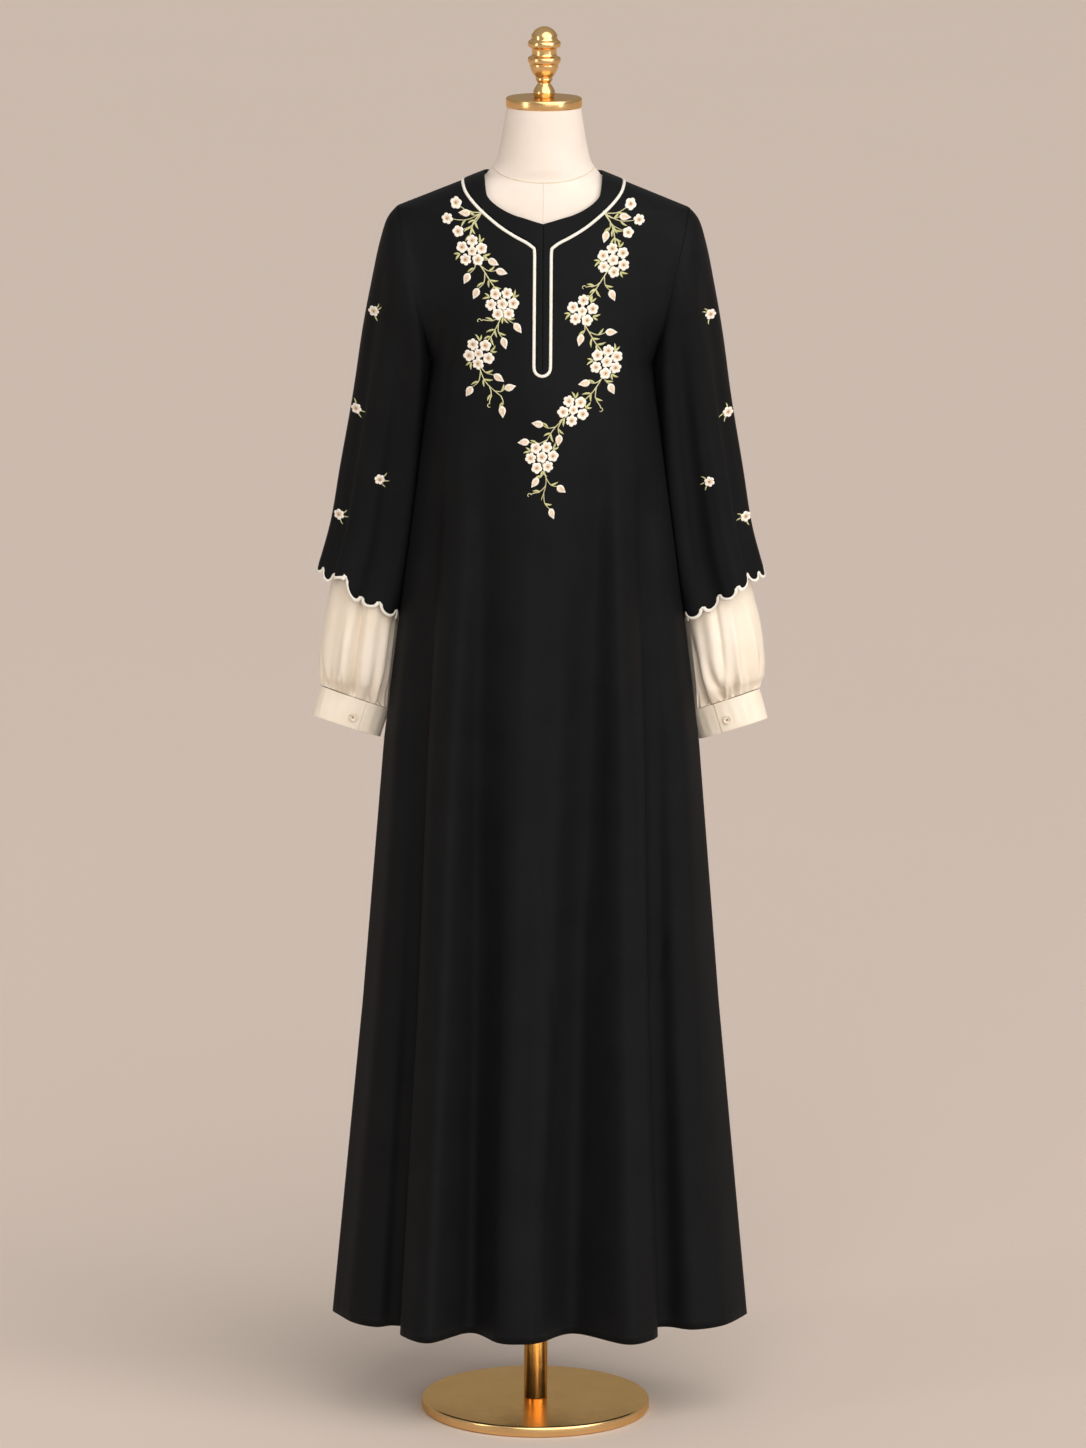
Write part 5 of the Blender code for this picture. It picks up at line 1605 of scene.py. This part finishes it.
buttonPattern, threadPattern = buttonModel(), threadModel()
for word, side in (("Left", -1), ("Right", 1)):
    finishPiece(buttonPiece("button" + word, side, buttonPattern), "button_shell", "button_" + word.lower())
    finishPiece(buttonPiece("buttonThread" + word, side, threadPattern), "button_shell")
for pattern in (buttonPattern, threadPattern):
    bpy.data.objects.remove(pattern, do_unlink=True)
print("buttons made")


# embroidery: raised blossoms, buds, leaves and stems stitched on the cloth

blossom = {
    "columns": 36,
    # share of the radius, rise in metres, how far the petals' waves and grooves show, thread
    "rings": (
        (0.00, 0.00125, 0.0, "ochreThread"), (0.12, 0.00110, 0.0, "ochreThread"),
        (0.18, 0.00060, 0.0, "ochreThread"), (0.26, 0.00055, 0.2, "roseThread"),
        (0.50, 0.00080, 0.7, "blushThread"), (0.60, 0.00105, 1.0, "creamThread"),
        (0.80, 0.00140, 1.0, "creamThread"), (0.95, 0.00100, 1.0, "creamThread"),
        (1.00, -0.00030, 1.0, "creamThread"),
    ),
}


class Stitchery:
    def __init__(self, name, placeOn):
        self.name, self.placeOn = name, placeOn
        self.verts, self.faces, self.coords, self.slots = [], [], [], []

    def add(self, spots, faces, coords, slots):
        start = len(self.verts)
        self.verts += spots
        self.faces += [tuple(start + corner for corner in face) for face in faces]
        self.coords += coords
        self.slots += slots

    def make(self):
        used = [name for name in threadLooks if name in self.slots]
        verts = [tuple(spot) for spot in self.verts]
        finishes = [threads[name] for name in used]
        piece = meshPiece(self.name, verts, self.faces, "lay", self.coords, *finishes)
        for face, slot in zip(piece.data.polygons, self.slots):
            face.material_index = used.index(slot)
        return piece


# rings of local points (across, up, rise) laid on the cloth
def layRings(work, centre, rows, tones, stripes):
    spots = []
    for row in rows:
        for across, up, rise in row:
            point, normal = work.placeOn(centre[0] + across, centre[1] + up)
            spots.append(point + normal * rise)
    faces, corners = gridFaces(len(rows), len(rows[0]), closed=True)
    work.add(spots, faces, cornerCoords(corners, stripes), [tones[face[0][0]] for face in corners])


# rows of points that run across a bud, a leaf or a stem
def layRows(work, spots, sides, stripes, toneOf):
    faces, corners = gridFaces(len(spots) // sides, sides)
    faces = [(a, d, c, b) for a, b, c, d in faces]
    corners = [(a, d, c, b) for a, b, c, d in corners]
    work.add(spots, faces, cornerCoords(corners, stripes), [toneOf(*face[0]) for face in corners])


def stepFrom(x, z, turn, along, beside=0.0):
    run, rise = math.cos(turn), math.sin(turn)
    return x + along * run - beside * rise, z + along * rise + beside * run


def addBlossom(work, x, z, radius, turn, petals=6):
    rows, tones = [], []
    columns = blossom["columns"]
    for share, rise, wave, tone in blossom["rings"]:
        row = []
        for column in range(columns):
            angle = math.tau * column / columns
            lobe = abs(math.cos(petals / 2.0 * angle)) ** 0.6
            r = radius * max(share, 0.02) * (1.06 - 0.27 * wave * (1.0 - lobe))
            high = rise * (1.0 - 0.42 * wave * (1.0 - lobe)) if rise > 0 else rise
            row.append((r * math.cos(angle + turn), r * math.sin(angle + turn), high * radius / 0.0072))
        rows.append(row)
        tones.append(tone)
    shares = [ring[0] for ring in blossom["rings"]]
    pitch = math.tau / columns * radius * 0.62
    layRings(work, (x, z), rows, tones[1:], lambda r, c: (pitch * c, shares[r] * radius))


bud = {
    "sides": 9,
    "shape": (  # share of the length, share of the width
        (0.0, 0.10), (0.06, 0.42), (0.17, 0.80), (0.32, 1.0), (0.48, 0.97), (0.63, 0.78), (0.77, 0.50),
        (0.90, 0.22), (1.0, 0.02),
    ),
}


def addBud(work, x, z, turn, length, width):
    sides, shape, spots = bud["sides"], bud["shape"], []
    for share, broad in shape:
        for side in range(sides):
            s = 2.0 * side / (sides - 1) - 1.0
            dome = (1.0 - 0.45 * (1.0 - abs(s)) ** 1.5) * broad ** 0.4 * (1.0 - s ** 8)
            spot = stepFrom(x, z, turn, (share - 0.5) * length, s * broad * width / 2.0)
            point, normal = work.placeOn(*spot)
            spots.append(point + normal * (0.0013 * dome - 0.0003 * s ** 8))

    def stripes(r, c):
        return shape[r][0] * length + abs(c - 4) * 0.0005, c * 0.0006

    def tone(r, c):
        return "blushThread" if 2 <= c <= 5 and 1 < r < 6 else "creamThread"

    layRows(work, spots, sides, stripes, tone)


leaf = {"steps": 8, "sides": 5, "growth": 1.2, "bend": 0.35}


def addLeaf(work, x, z, turn, length, width=0.0030):
    length *= leaf["growth"]
    steps, sides, spots = leaf["steps"], leaf["sides"], []
    for step in range(steps):
        share = step / (steps - 1)
        half = width / 2.0 * math.sin(math.pi * min(0.97, 0.06 + share * 0.92)) ** 0.8
        lean = turn + leaf["bend"] * (share - 0.5)
        for side in range(sides):
            s = 2.0 * side / (sides - 1) - 1.0
            point, normal = work.placeOn(*stepFrom(x, z, lean, share * length, s * half))
            spots.append(point + normal * (0.0008 * (1.0 - s * s) - 0.0002))

    def stripes(r, c):
        return r / (steps - 1) * length + abs(c - 2) * 0.0005, c * 0.0005

    layRows(work, spots, sides, stripes, lambda r, c: "leafThread")


def addStem(work, path, width=0.0019):
    count = max(8, int(sum(math.dist(a, b) for a, b in zip(path, path[1:])) / 0.0016))
    line = alongRows(path, count)
    walked = lengthsAlong(np.array(line))
    sides, spots = 5, []
    for index, (x, z) in enumerate(line):
        before, after = line[max(0, index - 1)], line[min(count - 1, index + 1)]
        run = Vector((after[0] - before[0], after[1] - before[1])).normalized()
        half = width / 2.0 * (1.0 - 0.35 * index / (count - 1))
        point, normal = work.placeOn(x, z)
        for side in range(sides):
            s = 2.0 * side / (sides - 1) - 1.0
            spot, _ = work.placeOn(x - run.y * s * half, z + run.x * s * half)
            spots.append(spot + normal * (0.00105 * (1.0 - s * s) - 0.0002))

    def stripes(r, c):
        return walked[r] + c * 0.0004, c * 0.0004

    layRows(work, spots, sides, stripes, lambda r, c: "stemThread")


def addCluster(work, x, z, turn, ring):
    radius = chestSpray["blossom"]
    spread = radius * (1.03 + 0.01 * ring) / math.sin(math.pi / ring) * (0.93 if ring == 6 else 1.0)
    addBlossom(work, x, z, radius * (1.0 if ring == 6 else 0.86), turn, 5)
    for index in range(ring):
        angle = turn + math.tau * index / ring
        away = spread + 0.0006 * math.sin(5.0 * index + x * 300.0)
        addBlossom(work, *stepFrom(x, z, angle, away), radius, angle * 1.7, 5 + index % 2)
        between = angle + math.pi / ring
        if index % 2 == 0:
            root = stepFrom(x, z, between, away * 1.16)
            addLeaf(work, *root, between + 0.45, 0.0078)
            addLeaf(work, *root, between - 0.45, 0.0068)


def frontPlace(x, z):
    key = (round(x, 5), round(z, 5))
    if key not in placed:
        placed[key] = clothFrame(-1, x, z)
    return placed[key]


placed = {}

# the spray is laid out by rule: two winding vines, with clusters on their bends
chestSpray = {
    "vines": (  # across, height; the turn that the first sprig takes
        (1, (
            (-0.0745, 1.5560), (-0.0880, 1.5370), (-0.0890, 1.5090), (-0.0690, 1.4760), (-0.0490, 1.4430),
            (-0.0600, 1.4090), (-0.0790, 1.3810), (-0.0720, 1.3500), (-0.0510, 1.3310),
        )),
        (-1, (
            (0.0745, 1.5560), (0.0870, 1.5330), (0.0880, 1.4990), (0.0690, 1.4660), (0.0480, 1.4350),
            (0.0620, 1.4020), (0.0800, 1.3720), (0.0660, 1.3400), (0.0400, 1.3160), (0.0130, 1.2890),
            (0.0010, 1.2580), (0.0080, 1.2270), (0.0030, 1.2040),
        )),
    ),
    "clusters": (  # across, height, turn, blossoms in the ring
        (-0.0880, 1.5060, 0.3, 5), (-0.0500, 1.4430, 0.1, 6), (-0.0790, 1.3810, 0.9, 5),
        (0.0870, 1.4960, 0.6, 6), (0.0490, 1.4350, 0.2, 5), (0.0800, 1.3720, 0.4, 6),
        (0.0390, 1.3150, 0.8, 5), (0.0010, 1.2570, 0.1, 6),
    ),
    # three blossoms fan out from each shoulder: direction, reach
    "fan": ((0.30, 0.034), (-0.20, 0.044), (-0.68, 0.038)),
    "fanRoot": (0.0760, 1.5530),
    "blossom": 0.0070,
    "fanBlossom": 0.0069,
    "step": 0.0098,
    "sprig": 0.0150,
    "bud": (0.0150, 0.0094),
    "clearOfCluster": 0.0285,
    "clearOfBud": 0.0130,
    "besidePlacket": 0.0270,
    "placketFoot": 1.3830,
    # height at the start of the neckband's slope, its distance from the middle, and the slope
    "underBand": (1.5170, 0.0120, 0.83),
}


# a sprig's tip keeps off the placket, the neckband and what is already stitched
def tipIsClear(x, z, taken):
    if z > chestSpray["placketFoot"] and abs(x) < chestSpray["besidePlacket"]:
        return False
    foot, away, slope = chestSpray["underBand"]
    if z > foot + (abs(x) - away) * slope:
        return False
    return all(math.dist((x, z), spot) > reach for spot, reach in taken)


def growVine(work, course, side, taken):
    count = int(sum(math.dist(a, b) for a, b in zip(course, course[1:])) / 0.001)
    line = alongRows(course, count)
    addStem(work, course)
    walked, due, grown = 0.0, 0.006, 0
    for before, spot in zip(line, line[1:]):
        walked += math.dist(before, spot)
        if walked < due:
            continue
        due += chestSpray["step"]
        side = -side
        grown += 1
        along = math.atan2(spot[1] - before[1], spot[0] - before[0])
        lean = along + side * (0.85 + 0.15 * math.sin(3.0 * grown))
        reach = chestSpray["sprig"] * (1.0 + 0.28 * math.sin(2.3 * grown + side))
        for reach in (reach * 1.25, reach, reach * 0.7):
            tip = stepFrom(*spot, lean, reach)
            end = stepFrom(*tip, lean, 0.006)
            if tipIsClear(*end, taken):
                bend = stepFrom(*spot, lean - side * 0.30, 0.55 * reach)
                sprig = (tuple(spot), bend, tip)
                if grown % 5 == 0:
                    addStem(work, (*sprig, *curlPath(*end, 0.0030, lean + 3.0, -4.2 * side)), 0.0015)
                else:
                    addStem(work, sprig, 0.0016)
                    addBud(work, *end, lean, *chestSpray["bud"])
                addLeaf(work, *bend, lean + side * 0.75, 0.0085)
                taken.append((end, chestSpray["clearOfBud"]))
                break
        else:
            if all(math.dist(spot, centre) > 0.0185 for centre, _ in taken[:len(chestSpray["clusters"])]):
                addLeaf(work, *spot, lean, 0.0098)
                addLeaf(work, *spot, lean - side * 1.5, 0.0080)


def curlPath(x, z, radius, start, sweep):
    path = []
    for step in range(9):
        share = step / 8
        path.append(stepFrom(x, z, start + sweep * share, radius * (1.0 - 0.55 * share)))
    return path


def growFan(work, side, taken):
    root = (side * chestSpray["fanRoot"][0], chestSpray["fanRoot"][1])
    for index, (turn, reach) in enumerate(chestSpray["fan"]):
        tip = (root[0] + side * reach * math.cos(turn), root[1] + reach * math.sin(turn))
        half = 0.5 * reach
        bend = (root[0] + side * half * math.cos(turn - 0.25), root[1] + half * math.sin(turn - 0.25))
        addStem(work, (root, bend, tip), 0.0016)
        lean = turn - 0.6 if side > 0 else math.pi - turn + 0.6
        addLeaf(work, *bend, lean, 0.0090)
        addBlossom(work, *tip, chestSpray["fanBlossom"], 0.8 * index + side, 5 + index % 2)
        taken.append((tip, 0.0150))


chest = Stitchery("chestEmbroidery", frontPlace)
taken = [((x, z), chestSpray["clearOfCluster"]) for x, z, turn, ring in chestSpray["clusters"]]
for side in (-1, 1):
    growFan(chest, side, taken)
for side, course in chestSpray["vines"]:
    growVine(chest, course, side, taken)
for spot in chestSpray["clusters"]:
    addCluster(chest, *spot)
chestPiece = finishPiece(chest.make(), "cream_cord")
print("chest embroidery:", len(chest.faces), "faces")


# small blossoms strewn on the outer sleeves

sleeveSpray = {
    "radius": 0.0064,
    -1: ((-0.2110, 1.4220), (-0.2330, 1.2960), (-0.2030, 1.2100), (-0.2545, 1.1600)),
    1: ((0.2100, 1.4210), (0.2335, 1.2945), (0.2105, 1.2100), (0.2575, 1.1600)),
}


def sleevePlacer(side):
    places = np.linspace(1.0, 7.9, 150)
    turns = np.linspace(15.0, 150.0, 136)
    grid = np.array([[tuple(outerSleevePoint(side, place, turn)) for turn in turns] for place in places])
    grid[:, :, 0] *= side
    normals = gridNormals(grid, False)
    if normals[:, :, 1].mean() > 0:
        normals = -normals

    def place(x, z):
        away = (grid[:, :, 0] - x) ** 2 + (grid[:, :, 2] - z) ** 2
        row, column = divmod(int(np.argmin(away)), away.shape[1])
        row = min(max(row, 1), len(places) - 2)
        column = min(max(column, 1), len(turns) - 2)
        point, normal = grid[row, column], normals[row, column]
        # the nearest grid point's own plane carries the stitch exactly where it is asked
        offset = -((x - point[0]) * normal[0] + (z - point[2]) * normal[2]) / normal[1]
        return Vector((x, point[1] + offset, z)), Vector(normal)

    return place


for word, side in (("Left", -1), ("Right", 1)):
    work = Stitchery("sleeveBlossoms" + word, sleevePlacer(side))
    for index, (x, z) in enumerate(sleeveSpray[side]):
        for turn in (0.9, 2.6, 4.4):
            lean = turn + 0.8 * index
            if side * math.cos(lean) > 0.3:  # it would reach round the sleeve's edge
                lean = math.pi - lean
            addLeaf(work, *stepFrom(x, z, lean, 0.0050), lean, 0.0062, 0.0019)
        addBlossom(work, x, z, sleeveSpray["radius"], 0.9 * index)
    sleevePieces["blossoms" + word] = finishPiece(work.make(), "cream_cord")
print("embroidery made")


# each sheet's area, read again and rounded
for name, facing, hem, extra in (
    ("frontPanel", "frontHemFacing", 0.842, [chestPiece, hemStitching]),
    ("backPanel", "backHemFacing", 0.808, []),
):
    piece, area = panels[name]
    area = round(area, 4)
for word in ("Left", "Right"):
    outer, area, edging = sleevePieces["outer" + word]
    area, extra = round(area, 4), [edging, sleevePieces["blossoms" + word]]
    inner, area = sleevePieces["inner" + word]
    area = round(area, 4)
    piece, area, stitching = sleevePieces["cuff" + word]
    area, extra = round(area, 5), [stitching]


# floor, light and camera

studio = {
    "floor": (0.645, 0.545, 0.480),
    "sky": (1.0, 0.955, 0.905),
    "skyLow": 0.30,
    "skyHigh": 0.46,
    "sunStrength": 2.85,
    "sunAngle": 80.0,
    "sunFrom": (0.66, -1.25, 1.0),
    "lamp": (1.0, 0.98, 0.95),
    "aim": (0.0, 0.0, 1.1),
    "softboxes": (  # name, place, size, power
        ("leftSoftbox", (-3.4, -2.2, 2.0), (0.7, 2.6), 26.0),
        ("rightSoftbox", (3.4, -2.6, 2.2), (0.9, 2.6), 22.0),
    ),
}


def makeFloor():
    finish, tree, shader = newFinish("paleFloor")
    space = coordsOf(tree)
    cloud = noiseNode(tree, space, 0.8, 4.0)
    grit = noiseNode(tree, space, 240.0, 3.0)
    low = tuple(value * 0.985 for value in studio["floor"])
    tree.links.new(colourMix(tree, cloud, low, studio["floor"]), shader.inputs["Base Color"])
    tree.links.new(rangeNode(tree, grit, 0.62, 0.74), shader.inputs["Roughness"])
    tree.links.new(bumpNode(tree, grit, 0.0001, 0.1), shader.inputs["Normal"])
    shader.inputs["Specular IOR Level"].default_value = 0.2
    bpy.ops.object.select_all(action="DESELECT")
    bpy.ops.mesh.primitive_plane_add(size=400.0, location=(0.0, 0.0, 0.0))
    floor = bpy.context.object
    floor.name = "floor"
    floor.data.materials.append(finish)
    floor.select_set(False)


def addLight(name, kind, power, direction):
    light = bpy.data.lights.new(name, kind)
    light.energy = power
    light.color = studio["lamp"]
    lamp = addPiece(name, light)
    lamp.rotation_euler = direction.to_track_quat("-Z", "Y").to_euler()
    return lamp


def addSoftbox(name, spot, size, power):
    lamp = addLight(name, "AREA", power, Vector(studio["aim"]) - Vector(spot))
    lamp.location = spot
    lamp.data.shape = "RECTANGLE"
    lamp.data.size, lamp.data.size_y = size


def makeStudio():
    makeFloor()
    world = bpy.data.worlds.new("studioLight")
    world.use_nodes = True
    bpy.context.scene.world = world
    tree = world.node_tree
    sky = tree.nodes["Background"]
    sky.inputs["Color"].default_value = (*studio["sky"], 1.0)
    split = tree.nodes.new("ShaderNodeSeparateXYZ")
    tree.links.new(tree.nodes.new("ShaderNodeTexCoord").outputs["Generated"], split.inputs[0])
    strength = rangeNode(tree, split.outputs["Z"], studio["skyLow"], studio["skyHigh"], 0.0, 0.8)
    tree.links.new(strength, sky.inputs["Strength"])
    sun = addLight("highSoftLight", "SUN", studio["sunStrength"], -Vector(studio["sunFrom"]))
    sun.data.angle = math.radians(studio["sunAngle"])
    for softbox in studio["softboxes"]:
        addSoftbox(*softbox)
    bpy.context.scene.view_settings.view_transform = "Standard"


photoView = {"spot": (0.0039, -9.8, 2.824), "tilt": 11.138, "roll": 0.378, "lens": 196.36}


def makeCamera():
    lens = bpy.data.cameras.new("photoCamera")
    lens.lens = photoView["lens"]
    lens.sensor_width = 36.0
    lens.sensor_fit = "AUTO"
    lens.clip_start, lens.clip_end = 0.1, 600.0
    camera = addPiece("photoCamera", lens)
    tilt = Matrix.Rotation(math.radians(90.0 - photoView["tilt"]), 4, "X")
    roll = Matrix.Rotation(math.radians(photoView["roll"]), 4, "Z")
    camera.matrix_world = Matrix.Translation(photoView["spot"]) @ tilt @ roll
    bpy.context.scene.camera = camera


makeStudio()
makeCamera()
print("studio made")
